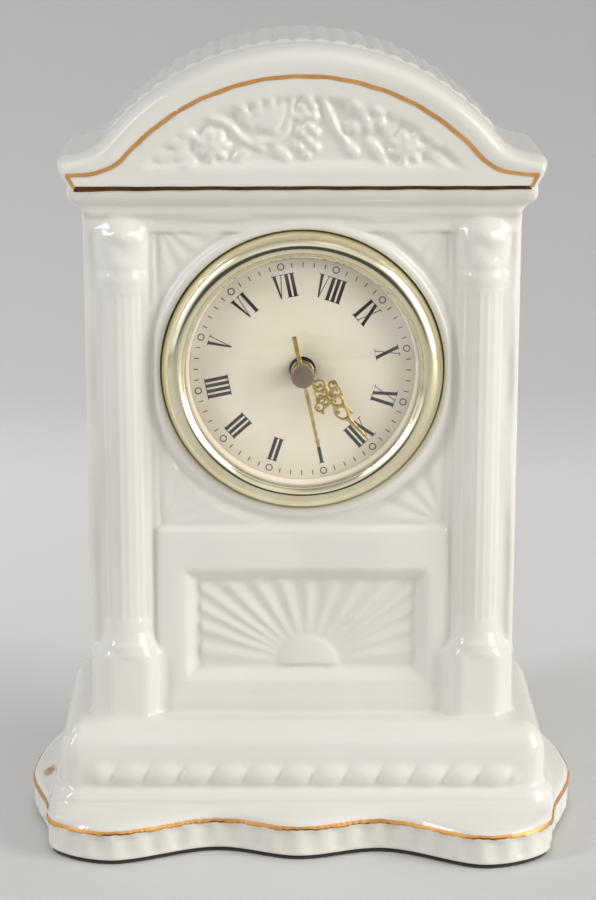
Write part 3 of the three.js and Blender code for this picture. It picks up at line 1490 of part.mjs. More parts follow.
function settingKnob() {
  const { x, y } = knobAxis;
  const knobNear = coverBack + KNOB_FRONT_GAP;
  const perNotch = 4;
  const count = KNOB_NOTCHES * perNotch;
  const ring = Array.from({ length: count }, (_, i) => {
    const depth = i % perNotch < perNotch / 2 ? 0 : KNOB_NOTCH;
    return polar(KNOB_R - depth, (2 * Math.PI * i) / count).add({ x, y });
  });
  return join([
    rod(KNOB_SHAFT_R, cupInside + FIT, knobNear + LAP, SIDES_SMALL, x, y),
    rod(PIVOT_R, cupInside - PIVOT_REACH, cupInside + LAP, SIDES_PIVOT, x, y),
    pinion(KNOB_TEETH, MOTION_MODULE, gapAt(KNOB_TEETH, MINUTE_ANGLE + HALF_TURN), CANNON_DEPTH, knobAxis),
    plate(shapeOf(ring), knobNear, knobNear + KNOB_TALL),
  ]);
}

function gripRing() {
  const near = SEAT_DEPTH + FIT;
  const outline = [[GRIP_IN_R, near], [GRIP_OUT_R, near]];
  for (let i = 0; i < GRIP_RIBS; i += 1) {
    const start = near + ((i + GRIP_RIB_AT) * GRIP_LENGTH) / GRIP_RIBS;
    outline.push(
      [GRIP_OUT_R, start],
      [GRIP_OUT_R - GRIP_RIB, start + GRIP_RIB_SLOPE],
      [GRIP_OUT_R - GRIP_RIB, start + GRIP_RIB_SLOPE + GRIP_RIB_WIDE],
      [GRIP_OUT_R, start + 2 * GRIP_RIB_SLOPE + GRIP_RIB_WIDE],
    );
  }
  outline.push([GRIP_OUT_R, near + GRIP_LENGTH], [GRIP_IN_R, near + GRIP_LENGTH]);
  return turned(outline, SIDES_MEDIUM);
}

// Assembly

const group = new THREE.Group();
const insert = new THREE.Group();
insert.position.set(0, DIAL_Y, DIAL_Z);
insert.rotation.y = INSERT_TURN;
group.add(insert);

function put(parent, name, solid, color, roughness, metalness) {
  const material = new THREE.MeshStandardMaterial({ color, roughness, metalness });
  const mesh = new THREE.Mesh(toGeometry(solid), material);
  mesh.name = name;
  parent.add(mesh);
  return mesh;
}

put(group, 'porcelain_case', porcelainCase(), 0xf3efe4, 0.15, 0);
put(group, 'felt_pad', feltPad(), 0x1d1d1f, 0.95, 0);
put(insert, 'grip_ring', gripRing(), 0x2a2a2a, 0.8, 0);
put(insert, 'bezel', bezel(), 0xd9c48a, 0.2, 1);
const glass = put(insert, 'lens', lens(), 0xf4f8f8, 0.05, 0);
glass.material.transparent = true;
glass.material.opacity = 0.2;
put(insert, 'dial_ring', dialRing(), 0xd8cfae, 0.3, 1);
put(insert, 'dial', dial(), 0xf2e8d2, 0.5, 0);
put(insert, 'movement_cup', movementCup(), 0x161616, 0.5, 0);
put(insert, 'rear_cover', rearCover(), 0x1b1b1b, 0.5, 0);
put(insert, 'train_bridge', trainBridge(), 0x20242a, 0.5, 0);
BOSS_ANGLES.forEach((degrees, i) => {
  const { x, y } = at(BOSS_AT, degrees);
  put(insert, `cover_screw_${i + 1}`, screw(x, y, coverBack), 0xb9bcc0, 0.35, 1);
});
PILLAR_ANGLES.forEach((degrees, i) => {
  const { x, y } = at(PILLAR_AT, degrees);
  put(insert, `bridge_screw_${i + 1}`, screw(x, y, bridgeBack), 0xb9bcc0, 0.35, 1);
});
put(insert, 'hour_hand', hourHand(), 0xc9a24c, 0.3, 1);
put(insert, 'minute_hand', minuteHand(), 0xc9a24c, 0.3, 1);
put(insert, 'seconds_hand', secondsHand(), 0xb08a44, 0.35, 1);
put(insert, 'hour_wheel', hourWheel(), 0xe8e4da, 0.5, 0);
put(insert, 'minute_arbor', minuteArbor(), 0xc8b070, 0.35, 1);
put(insert, 'minute_wheel', minuteWheel(), 0xe8e4da, 0.5, 0);
put(insert, 'centre_wheel', centreWheel(), 0xefe9d8, 0.5, 0);
put(insert, 'third_wheel', thirdWheel(), 0xe6dfcf, 0.5, 0);
put(insert, 'seconds_wheel', secondsWheel(), 0xe2dccb, 0.5, 0);
put(insert, 'intermediate_wheel', intermediateWheel(), 0xe6e0d2, 0.5, 0);
put(insert, 'rotor', rotor(), 0x6b6d70, 0.4, 0.6);
put(insert, 'stator', stator(), 0x9a9c9e, 0.4, 1);
put(insert, 'coil_core', coilCore(), 0x8f9295, 0.4, 1);
put(insert, 'coil_winding', coilWinding(), 0xb0622f, 0.4, 0.8);
put(insert, 'circuit_board', circuitBoard(), 0x2f5d3a, 0.6, 0);
put(insert, 'chip', chip(), 0x101010, 0.4, 0);
put(insert, 'quartz_crystal', quartzCrystal(), 0xc4c7ca, 0.3, 1);
put(insert, 'button_cell', buttonCell(), 0xc9ccd0, 0.25, 1);
put(insert, 'positive_contact', positiveContact(), 0xd0c9a8, 0.3, 1);
put(insert, 'negative_contact', negativeContact(), 0xd0c9a8, 0.3, 1);
put(insert, 'battery_hatch', batteryHatch(), 0x242424, 0.5, 0);
put(insert, 'setting_knob', settingKnob(), 0x303030, 0.5, 0);

export default group;
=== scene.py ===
import math

import bmesh
import bpy
import numpy as np
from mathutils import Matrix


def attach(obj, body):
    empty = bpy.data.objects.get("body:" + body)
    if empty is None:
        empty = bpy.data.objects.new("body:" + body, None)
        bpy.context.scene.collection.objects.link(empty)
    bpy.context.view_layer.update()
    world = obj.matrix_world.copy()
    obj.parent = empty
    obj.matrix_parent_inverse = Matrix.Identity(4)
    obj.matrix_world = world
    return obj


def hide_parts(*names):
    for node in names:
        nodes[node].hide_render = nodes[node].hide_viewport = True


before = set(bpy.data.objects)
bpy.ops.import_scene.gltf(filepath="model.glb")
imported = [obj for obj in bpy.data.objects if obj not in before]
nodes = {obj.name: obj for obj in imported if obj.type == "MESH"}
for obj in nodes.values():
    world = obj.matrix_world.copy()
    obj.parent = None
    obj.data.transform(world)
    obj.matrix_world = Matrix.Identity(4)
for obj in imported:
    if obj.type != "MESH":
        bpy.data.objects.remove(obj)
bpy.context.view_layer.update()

import openvdb
from mathutils import Vector

# Porcelain case: foot, slab, columns, panels and arched pediment, slip cast in one hollow piece, fired,
# dipped in clear glaze and fired again. The glaze rounds every edge and pools in every corner, so the
# shape is worked out in millimetres as a field of distances and skinned where the field is zero.
CELL = 0.5
gx = np.arange(-76, 76.1, CELL, dtype=np.float32)
gy = np.arange(-47, 47.1, CELL, dtype=np.float32)
gz = np.arange(-1, 214.6, CELL, dtype=np.float32)
field = np.full((gx.size, gy.size, gz.size), 5, np.float32)


def ease(t):
    t = np.clip(t, 0, 1)
    return t * t * (3 - 2 * t)


def melt(a, b, soft):
    """Two fields as one, with glaze pooled where they meet."""
    h = np.maximum(soft - np.abs(a - b), 0)
    return np.minimum(a, b) - h * h / (4 * soft)


def trim(a, b, soft):
    """What two fields share, with the edge between them rounded."""
    return -melt(-a, -b, soft)


def block(low, high):
    """The part of the field between two corners, and its coordinates."""
    cut = tuple(
        slice(int(np.searchsorted(g, a)), int(np.searchsorted(g, b)))
        for g, a, b in zip((gx, gy, gz), low, high)
    )
    return cut, gx[cut[0]][:, None, None], gy[cut[1]][None, :, None], gz[cut[2]][None, None, :]


def between(values, index):
    """A field's value at places counted in cells, blended from the eight cells round each."""
    base = np.clip(index.astype(int), 0, np.array(values.shape) - 2)
    part = index - base
    total = 0
    for corner in np.ndindex(2, 2, 2):
        weight = np.prod(np.where(corner, part, 1 - part), axis=1)
        total = total + weight * values[tuple((base + corner).T)]
    return total


def outline_distance(u, v, points):
    """Signed distance to a closed outline, below zero inside, and the share of the way round it."""
    points = np.asarray(points, np.float64)
    after = np.roll(points, -1, axis=0)
    lengths = np.hypot(*(after - points).T)
    start = np.cumsum(lengths) - lengths
    best = np.full(np.broadcast(u, v).shape, 1e9)
    along = np.zeros(best.shape)
    inside = np.zeros(best.shape, bool)
    for (pu, pv), (qu, qv), span, s in zip(points, after, lengths, start):
        t = np.clip(((u - pu) * (qu - pu) + (v - pv) * (qv - pv)) / span**2, 0, 1)
        gap = np.hypot(u - pu - t * (qu - pu), v - pv - t * (qv - pv))
        along = np.where(gap < best, s + t * span, along)
        best = np.minimum(best, gap)
        if pv != qv:
            inside ^= ((pv > v) != (qv > v)) & (u < (qu - pu) * (v - pv) / (qv - pv) + pu)
    return np.where(inside, -best, best).astype(np.float32), (along / lengths.sum()).astype(np.float32)


def rounded_rect(u, v, half_u, half_v, corner):
    a, b = np.abs(u) - half_u + corner, np.abs(v) - half_v + corner
    return np.hypot(np.maximum(a, 0), np.maximum(b, 0)) + np.minimum(np.maximum(a, b), 0) - corner


def smooth_loop(points, steps):
    """A closed curve through the points, with even bends between near and far ones."""
    points = np.asarray(points, float)
    count = len(points)
    loop = []
    for i in range(count):
        p0, p1, p2, p3 = (points[(i + k) % count] for k in (-1, 0, 1, 2))
        d0, d1, d2 = (math.sqrt(np.linalg.norm(b - a)) for a, b in ((p0, p1), (p1, p2), (p2, p3)))
        m1 = ((p1 - p0) / d0 - (p2 - p0) / (d0 + d1) + (p2 - p1) / d1) * d1
        m2 = ((p2 - p1) / d1 - (p3 - p1) / (d1 + d2) + (p3 - p2) / d2) * d1
        for t in np.arange(steps) / steps:
            bend = (-3 * p1 + 3 * p2 - 2 * m1 - m2) * t**2 + (2 * p1 - 2 * p2 + m1 + m2) * t**3
            loop.append(p1 + m1 * t + bend)
    return np.array(loop)


# The foot: a wavy plan with scalloped sides, and a flange that swells up from the rim to the step.
FOOT_HALF_X, FOOT_HALF_Y = 73.9, 44
FELT_TOP_Z = 1.2
RIM_TOP_Z, RIM_LIP, FLANGE_RISE = 9.3, 1.5, 1.8
SCOOPS, SCOOP_DEEP, SCOOP_TOP_Z = 58, 0.85, 8.4
SLUMP = 0.04
# The slab, and the hollow inside it, sit this far behind the middle of the foot.
SLAB_Y = 2.7
STEP_HALF_X, STEP_HALF_Y, SLAB_CORNER = 66.6, 33.3, 6
half_plan = [
    (0, -39.5), (22, -34), (49.5, -FOOT_HALF_Y), (65, -36.2), (67.8, -23.6),
    (FOOT_HALF_X, 0), (68.3, 28), (55.5, 42), (40.5, FOOT_HALF_Y),
]
plan = smooth_loop(half_plan + [(0, FOOT_HALF_Y)] + [(-px, py) for px, py in half_plan[:0:-1]], 14)
plan[:, 0] *= FOOT_HALF_X / plan[:, 0].max()
plan[:, 1] = (plan[:, 1] - (plan[:, 1].max() + plan[:, 1].min()) / 2) * (2 * FOOT_HALF_Y) / np.ptp(plan[:, 1])
# The front of the foot slumped in the kiln: its right wave lies a little further forward than the left.
slump = SLUMP * np.clip(-plan[:, 1] / FOOT_HALF_Y, 0, 1)
plan = np.column_stack([plan[:, 0] + slump * plan[:, 1], plan[:, 1] - slump * plan[:, 0]])
foot_edge, foot_way = outline_distance(gx[:, None], gy[None, :], plan)
step_edge = rounded_rect(gx[:, None], gy[None, :] - SLAB_Y, STEP_HALF_X, STEP_HALF_Y, SLAB_CORNER)
share = np.clip(-foot_edge / np.maximum(step_edge - foot_edge, 0.01), 0, 1)
flange = RIM_TOP_Z + RIM_LIP * (1 - np.exp(-share / 0.07)) + FLANGE_RISE * share**1.15
scoop = SCOOP_DEEP * np.sin(foot_way * SCOOPS * math.pi) ** 2

cut, x, y, z = block((-77, -48, -1), (77, 48, 17))
fade = ease((SCOOP_TOP_Z - z) / 1.3) * ease((z - FELT_TOP_Z) / 2.4)
side = foot_edge[:, :, None] + scoop[:, :, None] * fade - 0.25 * ease((z - 7.6) / 1.2)
field[cut] = trim(trim(side, (z - flange[:, :, None]) * 0.9, 0.9), FELT_TOP_Z - z, 1.0)

# The slab: a cove up from the flange, a flat band that carries the rope, and a rounded top.
SLAB_HALF_X, SLAB_HALF_Y, SLAB_TOP_Z = 64.6, 31.3, 33
SHOULDER_Z, SHOULDER_TALL, SHOULDER_DEEP = 24.4, 8.6, 7.2
cut, x, y, z = block((-70, -34, 10), (70, 40, 36))
slab_edge = rounded_rect(x, y - SLAB_Y, SLAB_HALF_X, SLAB_HALF_Y, SLAB_CORNER)
swell = np.interp(z, [10, 12.6, 13.4, 14.2, 15.0, 15.6, 16.2, 16.8], [2.5, 2.5, 2.45, 2.2, 1.7, 1.1, 0.4, 0.0])
quarter = np.hypot(
    np.maximum(slab_edge + SHOULDER_DEEP, 0) / SHOULDER_DEEP, np.maximum(z - SHOULDER_Z, 0) / SHOULDER_TALL
)
slab = np.where(z < SHOULDER_Z, slab_edge - swell, (quarter - 1) * SHOULDER_DEEP)
field[cut] = melt(field[cut], trim(slab, z - SLAB_TOP_Z, 0.6), 0.9)

# The rope on the slab's band: strands that lean to the right, pressed flat at both ends of the band.
ROPE_Z, ROPE_TILT, ROPE_HALF_X = 19.9, 0.009, 60.5
ROPE_BACK_Y, ROPE_PROUD, ROPE_REACH, ROPE_HALF_TALL = -27.4, 3.2, 4.7, 4.5
STRAND_PITCH, STRAND_START_X, STRAND_LEAN = 8.783, 50.2, 1.5
cut, x, y, z = block((-62, -34, 14), (62, -20, 26))
up = z - ROPE_Z + ROPE_TILT * x
lay = ((x + STRAND_START_X - STRAND_LEAN * np.sin(up * 0.36)) / STRAND_PITCH) % 1
strand = 0.42 + 0.58 * np.sin(math.pi * lay) ** 0.7
proud = ROPE_PROUD * np.cos(1.57 * np.clip(up / ROPE_REACH, -1, 1)) ** 1.3 * strand
proud = proud * ease((ROPE_HALF_X - np.abs(x)) / 7)
rope = (ROPE_BACK_Y - proud - y) * 0.8 + 3 * (np.abs(up) > ROPE_HALF_TALL)
field[cut] = melt(field[cut], rope, 0.8)

# The front of the body as one height over the wall: panels, ring, fans, sunburst and mouldings.
WALL_Y, BODY_HALF_X, BODY_BACK_Y = -15.5, 56.2, 25
AXIS_Z = 126.5
PANEL_Z, PANEL_HALF_X, PANEL_HALF_Z, PANEL_DEEP = 124.95, 38.7, 41.45, 1.6
SEAT_Y, SEAT_R, SEAT_FILLET = -16.2, 37.6, 2.0
FAN_X, FAN_ABOVE, FAN_BELOW, FAN_PETALS, FAN_PROUD = 37.4, 39.0, 41.8, 4, 0.65
LOW_PANEL_X, LOW_PANEL_Z, LOW_HALF_X, LOW_HALF_Z, LOW_DEEP, LOW_BEVEL = 1.0, 57.05, 32.2, 15.55, 3.0, 3.6
SUN_X, SUN_Z, SUN_R, SUN_PROUD, RAY_PROUD = 1.4, 45.1, 8.4, 1.2, 0.95
RAY_EDGES = [0, 9.9, 21.6, 30.5, 38.1, 47.7, 60.2, 74.3, 90]
COLUMN_X = 46.5
u, v = gx[:, None], gz[None, :]


def soften(height, passes):
    for axis in (0, 1):
        for _ in range(passes):
            padded = np.pad(height, [(1, 1) if k == axis else (0, 0) for k in (0, 1)], mode="edge")
            ahead = np.take(padded, range(2, padded.shape[axis]), axis)
            behind = np.take(padded, range(padded.shape[axis] - 2), axis)
            height = height / 2 + (ahead + behind) / 4
    return height


wall = np.full((gx.size, gz.size), WALL_Y)
panel = np.maximum(np.abs(u) - PANEL_HALF_X, np.abs(v - PANEL_Z) - PANEL_HALF_Z)
reach = np.hypot(u, v - AXIS_Z)
wall += PANEL_DEEP * ease(-panel / 1.3) * (0.25 + 0.75 * ease((reach - 39.0) / 2.4))
# A fan opens from each corner of the panel and runs out before the ring.
for way_u in (-1, 1):
    for way_v, fan_z in ((-1, FAN_BELOW), (1, FAN_ABOVE)):
        du, dv = FAN_X - way_u * u, fan_z - way_v * (v - AXIS_Z)
        turn = np.arctan2(dv, du) / (math.pi / 2) * FAN_PETALS
        petal = (1 - np.abs(2 * (turn % 1) - 1)) ** 0.8
        held = (du > 0) & (dv > 0)
        wall -= FAN_PROUD * petal * ease(np.hypot(du, dv) / 6) * ease((reach - 40.2) / 3.0) * held
# The ring that the bezel sits in.
ring = 1 - np.sqrt(np.clip(1 - ((reach - SEAT_R) / SEAT_FILLET).clip(-1, 1) ** 2, 0, 1))
ring = np.where(reach < SEAT_R, SEAT_Y, SEAT_Y + PANEL_DEEP * ring)
wall = melt(wall, np.where(reach < SEAT_R + SEAT_FILLET, ring, 0), 0.5)
# The sunburst in the low panel: rays at the angles they have in the mould, and half a disc.
low_panel = np.maximum(np.abs(u - LOW_PANEL_X) - LOW_HALF_X, np.abs(v - LOW_PANEL_Z) - LOW_HALF_Z)
wall += LOW_DEEP * np.clip(-low_panel / LOW_BEVEL, 0, 1)
sun = np.hypot(u - SUN_X, v - SUN_Z)
lift = np.degrees(np.arctan2(np.abs(v - SUN_Z), np.abs(u - SUN_X)))
ray = np.interp(lift, RAY_EDGES, np.maximum(np.arange(len(RAY_EDGES)) - 0.5, 0)) % 1
rays = RAY_PROUD * (1 - np.abs(2 * ray - 1)) ** 1.25 * np.clip((sun - 6) / 12, 0, 1)
disc = SUN_PROUD * np.sqrt(np.clip(1 - (sun / SUN_R) ** 3, 0, 1))
burst = np.where(sun < SUN_R, disc, rays * ease((sun - SUN_R - 0.2) / 1.5))
wall -= burst * ease(-(low_panel + LOW_BEVEL) / 0.6)
# Two beads along the foot of the wall, and a groove on each side of each column.
for bead_z, half_tall, proud in ((36.0, 2.2, 0.7), (39.3, 1.2, 0.35)):
    wall -= proud * np.sqrt(np.clip(1 - ((v - bead_z) / half_tall) ** 2, 0, 1)) * ease((44 - np.abs(u)) / 6)
beside = np.abs(np.abs(u) - COLUMN_X) - 7.3
deep = np.where(np.abs(u) < COLUMN_X, 1.1, 0.6)
wall += deep * np.exp(-((beside / 0.9) ** 2)) * ease((v - 51) / 2) * ease((165 - v) / 3)
wall = soften(wall, 1)
slope_u, slope_v = np.gradient(wall, CELL)
steep = (1 / np.sqrt(1 + slope_u**2 + slope_v**2)).astype(np.float32)

cut, x, y, z = block((-61, -25, 30), (61, 30, 177))
face = (wall[cut[0], cut[2]][:, None, :] - y) * steep[cut[0], cut[2]][:, None, :]
flank = np.maximum(np.maximum(np.abs(x) - BODY_HALF_X, (np.abs(x) - y - 70.6) * 0.707), y - BODY_BACK_Y)
field[cut] = melt(field[cut], trim(face, trim(flank, z - 176, 0.5), 1.0), 2.2)

# Fluted columns on faceted plinths, with a ring and a small leafy capital that dies away under the cornice.
COLUMN_Y, FLUTES, FLUTE_DEEP = -12.9, 20, 0.4
PLINTH_HALF_X, PLINTH_FRONT_Y, PLINTH_BEVEL_Z, PLINTH_TOP_Z = 9.4, -20.6, 50.3, 51.9
FLUTE_LOW_Z, FLUTE_HIGH_Z = 58.6, 148.4
cut, x, y, z = block((-61, -25, 30), (61, -2, 172))
dx = np.abs(x) - COLUMN_X
plinth = np.maximum(np.abs(dx) - PLINTH_HALF_X, trim(PLINTH_FRONT_Y - y, (np.abs(dx) - y - 25.7) * 0.707, 1.2))
plinth = trim(trim(plinth, (plinth + z - PLINTH_BEVEL_Z) * 0.707, 0.6), z - PLINTH_TOP_Z, 0.6)
field[cut] = melt(field[cut], plinth, 1.4)
around = np.arctan2(dx, COLUMN_Y - y)
far = np.hypot(dx, y - COLUMN_Y)
girth = np.interp(
    z,
    [50, 51.9, 52.8, 53.3, 53.9, 54.6, 55.4, 56.4, 58, 149.2, 150, 151.2, 152.4, 153.2, 155, 161, 163.5, 165.5, 168],
    [8.0, 8.0, 7.9, 7.7, 7.3, 7.1, 6.8, 6.6, 6.5, 6.5, 6.75, 6.9, 6.75, 6.4, 6.4, 6.5, 6.2, 4.6, 2.0],
)
groove = (around / (2 * math.pi) * FLUTES + 0.5) % 1
channel = FLUTE_DEEP * (1 - (2 * groove - 1) ** 2) ** 0.6
channel = channel * ease((z - FLUTE_LOW_Z) / 2.2) * ease((FLUTE_HIGH_Z - z) / 2.2)
# On the capital: a leaf at each side, and in front a rosette, the hollow under it and a leaf tip.
curl = np.interp(z, [153.2, 156, 159.4, 161.8, 163.4, 164.8], [0, 0.55, 1, 1.2, 0.8, 0])
leaf = 0.65 * curl * np.exp(-(((np.abs(around) - 0.95) / 0.36) ** 2))
for tall, high, broad, proud in ((162.4, 1.8, 0.42, 0.8), (159.4, 1.9, 0.34, -0.6), (155.2, 1.5, 0.5, 0.55)):
    leaf += proud * np.exp(-((around / broad) ** 2) - ((z - tall) / high) ** 2)
column = (far - girth + channel - leaf) * 0.92
column = np.maximum(column, np.abs(z - 110) - 60)
field[cut] = melt(field[cut], column, 0.7 + 3.3 * ease((z - 161) / 4))

# The cornice: a bead, then a fat rounded moulding up to the dark line.
cut, x, y, z = block((-63, -25, 163), (63, 32, 178))
rise = [163, 166.6, 167.4, 168.4, 169.2, 169.8, 170.3, 171, 172, 173.2, 174.2, 178]
front = np.interp(z, rise, [-15.5, -15.6, -16.8, -17.3, -17.3, -16.9, -17.3, -18.5, -19.5, -20.1, -20.4, -20.5])
flare = np.interp(z, rise, [55.8, 56.2, 56.2, 56.3, 56.9, 57.5, 58.2, 59.1, 59.7, 59.9, 59.8, 59.4])
cornice = trim(np.maximum(np.abs(x) - flare, y - 27), front - y, 2.4)
field[cut] = melt(field[cut], np.maximum(cornice, z - 176.5), 0.6)

# The pediment: an arched front face with ears, a roll moulding back to the roof line, and a ribbed roof.


def eared_arch(crown, spring, bend, end, ear):
    """Right half of an arch that sweeps out into an ear, mirrored into a closed outline."""
    radius = (spring[0] ** 2 + (crown - spring[1]) ** 2) / (2 * (crown - spring[1]))
    top = [
        (radius * math.sin(a), crown - radius + radius * math.cos(a))
        for a in np.linspace(0, math.asin(spring[0] / radius), 30)
    ]
    curl = [
        tuple((1 - t) ** 2 * a + 2 * t * (1 - t) * b + t * t * c for a, b, c in zip(spring, bend, end))
        for t in np.linspace(0.1, 1, 10)
    ]
    right = top + curl + ear
    return right + [(-px, pz) for px, pz in right[:0:-1]]


face_line = eared_arch(202.7, (44.5, 182.8), (49.1, 177.6), (59.8, 178.0), [(59.0, 174.6)])
roof_line = eared_arch(
    210.8, (50.0, 187.2), (53.0, 183.5), (60.2, 182.6),
    [(61.5, 182.1), (62.3, 181.2), (62.5, 180.0), (62.1, 178.7), (61.2, 177.2), (60.3, 175.8), (59.6, 174.6)],
)
face_edge, _ = outline_distance(gx[:, None], gz[None, :], face_line)
roof_edge, _ = outline_distance(gx[:, None], gz[None, :], roof_line)
out = np.clip(face_edge / np.maximum(face_edge - roof_edge, 0.01), 0, 1)
roll = np.interp(
    out,
    [0, 0.1, 0.22, 0.36, 0.5, 0.64, 0.76, 0.86, 0.93, 0.97, 1],
    [-20.5, -20.4, -20.65, -21.0, -21.1, -20.9, -20.35, -19.4, -18.0, -16.4, -13.0],
)
garland = np.zeros(roll.shape)


def sprig(base, tip, wide, tall, vein=0.0):
    """A leaf or petal from its base to its tip: a rounded oval swelling, with a vein if it is a leaf."""
    du, dv = tip[0] - base[0], tip[1] - base[1]
    long = math.hypot(du, dv)
    p = ((u - base[0]) * du + (v - base[1]) * dv) / long**2
    q = ((v - base[1]) * du - (u - base[0]) * dv) / long
    edge = np.clip(1 - (2 * p - 1) ** 2, 0, 1)
    dome = np.sqrt(np.clip(1 - (2 * q / wide) ** 2 / np.maximum(edge, 0.05), 0, 1)) * (edge > 0)
    np.maximum(garland, tall * dome * (1 - vein * np.exp(-((q / 0.5) ** 2))), out=garland)


def berry(centre, size, tall):
    gap = np.hypot(u - centre[0], v - centre[1]) / size
    np.maximum(garland, tall * np.sqrt(np.clip(1 - gap**2, 0, 1)), out=garland)


def vine(points, wide):
    """A stem or ribbon through the points."""
    loop = np.array(points, float)
    way = np.linspace(0, len(loop) - 1, 60)
    for at in zip(*(np.interp(way, range(len(loop)), loop[:, k]) for k in (0, 1))):
        berry(at, wide, 1.3)


# A bunch of grapes hangs in the middle, between a leafy fan and a cluster of fruit, and a flower with
# leaves lies at each end. Ribbons tie them together.
for grape in (
    (1.4, 197.0), (-0.3, 195.4), (2.7, 195.0), (0.9, 193.3), (-1.0, 192.6), (2.9, 192.6), (1.4, 190.6),
    (-0.6, 189.0), (3.1, 188.8), (1.2, 187.0), (-0.9, 185.2), (3.1, 185.0), (1.0, 183.2),
):
    berry(grape, 1.25, 1.6)
for base, tip in (
    ((-12.4, 189.4), (-16.2, 196.0)), ((-10.6, 189.0), (-11.6, 197.2)),
    ((-9.0, 188.6), (-7.9, 197.6)), ((-7.6, 188.4), (-4.9, 196.6)),
):
    sprig(base, tip, 3.3, 1.5, 0.3)
vine([(-2.7, 196.8), (-3.2, 192.8), (-4.3, 188.9), (-7.7, 186.4), (-11.7, 186.5)], 0.8)
vine([(-23.3, 192.4), (-20.4, 191.7), (-18, 190.3), (-16.2, 187.9), (-13, 185.7), (-10.4, 184.9)], 0.9)
vine([(5.1, 196.5), (6.2, 194.7), (7.5, 191.5), (8.8, 188.8), (10.7, 186.7)], 0.9)
left_tips = [
    (-27.4, 187.1), (-23.8, 190.0), (-20.2, 189.2), (-18.2, 185.6), (-19.6, 182.2), (-23.4, 181.2), (-26.8, 183.4),
]
turns = [2 * math.pi * turn / 7 for turn in range(7)]
right_tips = [(26.2 + 4.9 * math.cos(a), 185.0 + 4.3 * math.sin(a)) for a in turns]
for heart, tips in (((-22.7, 185.6), left_tips), ((26.2, 185.0), right_tips)):
    for tip in tips:
        sprig(heart, tip, 2.9, 1.5)
    berry(heart, 1.5, 2.0)
for fruit in ((13.0, 195.2), (16.2, 190.7), (18.8, 194.4), (15.2, 193.4), (12.9, 190.0), (19.4, 191.4)):
    berry(fruit, 2.0, 1.8)
for base, tip in (
    ((-28.2, 183.8), (-37.4, 182.2)), ((-28.2, 185.6), (-34.6, 186.4)), ((-26.6, 187.2), (-31.7, 189.6)),
    ((-26.6, 182.4), (-31.4, 180.8)), ((31.0, 183.6), (37.2, 180.8)), ((31.0, 185.4), (35.4, 186.2)),
    ((29.6, 187.2), (32.4, 189.0)), ((20.2, 188.0), (23.6, 192.4)), ((15.8, 187.4), (21.2, 181.0)),
    ((10.4, 185.6), (14.2, 183.0)), ((-13.6, 184.4), (-17.4, 181.4)), ((-7.4, 184.8), (-3.0, 181.8)),
):
    sprig(base, tip, 3.0, 1.3, 0.4)
floor_edge = np.maximum(np.maximum(face_edge + 4.2, 179.6 - v), np.abs(u) - 41.5)
sunk = 1.8 * ease(-floor_edge / 2.2)
roll = soften(roll + sunk - 1.1 * garland * ease(-floor_edge / 1.0), 2)
slope_u, slope_v = np.gradient(roll, CELL)
steep = np.maximum(1 / np.sqrt(1 + slope_u**2 + slope_v**2), 0.35)

# The roof behind the roll stands a little higher, and grooves from front to back part it into ribs.
ROOF_R, ROOF_MIDDLE_Z, ROOF_RIBS, ROOF_RIBS_HALF_X = 64.8, 146.0, 23, 49
RIB_PROUD, RIB_GROOVE, RIB_GROOVE_WIDE = 0.8, 0.65, 0.95
cut, x, y, z = block((-67, -25, 173), (67, 33, 214.5))
swing = np.arctan2(u, v - ROOF_MIDDLE_Z)
pitch = 2 * math.asin(ROOF_RIBS_HALF_X / ROOF_R) / ROOF_RIBS
off = (swing / pitch - np.floor(swing / pitch) - 0.5) * pitch * ROOF_R
held = ease((math.radians(52) - np.abs(swing)) / 0.1)[cut[0], cut[2]][:, None, :]
groove = np.exp(-((off / RIB_GROOVE_WIDE) ** 2))[cut[0], cut[2]][:, None, :]
ribs = held * (RIB_PROUD * ease((y + 13.5) / 3) - RIB_GROOVE * groove * ease((y + 12.5) / 2.5))
roof = roof_edge[cut[0], cut[2]][:, None, :] - ribs
gable = trim((roll[cut[0], cut[2]][:, None, :] - y) * steep[cut[0], cut[2]][:, None, :], roof, 0.6)
gable = trim(trim(gable, y - 29, 3.0), 174.8 - z, 0.9)
field[cut] = melt(field[cut], gable, 0.5)

# The bore for the clock insert, the round hole behind it, and the hollow that the slip left inside.
RECESS_R, RECESS_BACK_Y, BORE_R, BORE_BACK_Y, REAR_HOLE_R = 36.8, -10.5, 31.2, 10, 27
HOLLOW_HALF_X, HOLLOW_Y, HOLLOW_HALF_Y = 51.2, 7.3, 12.7
cut, x, y, z = block((-45, -25, 80), (45, 32, 175))
from_axis = np.hypot(x, z - AXIS_Z)
bore = from_axis - REAR_HOLE_R
for radius, back in ((RECESS_R, RECESS_BACK_Y), (BORE_R, BORE_BACK_Y)):
    bore = np.minimum(bore, np.maximum(from_axis - radius, y - back))
field[cut] = trim(field[cut], -bore, 1.8)
cut, x, y, z = block((-68, -40, -1), (68, 40, 208))
hollow = trim(rounded_rect(x, y - SLAB_Y, 59.6, 26.3, 3), z - 23.5, 2)
shaft = np.maximum(np.abs(x) - HOLLOW_HALF_X, np.abs(y - HOLLOW_Y) - HOLLOW_HALF_Y)
hollow = melt(hollow, trim(shaft, np.abs(z - 98) - 76, 2), 2)
vault = np.maximum(np.hypot(x, z - 145.0) - 59.8, 173 - z)
hollow = melt(hollow, np.maximum(shaft, vault), 2)
field[cut] = trim(field[cut], -hollow, 0.6)


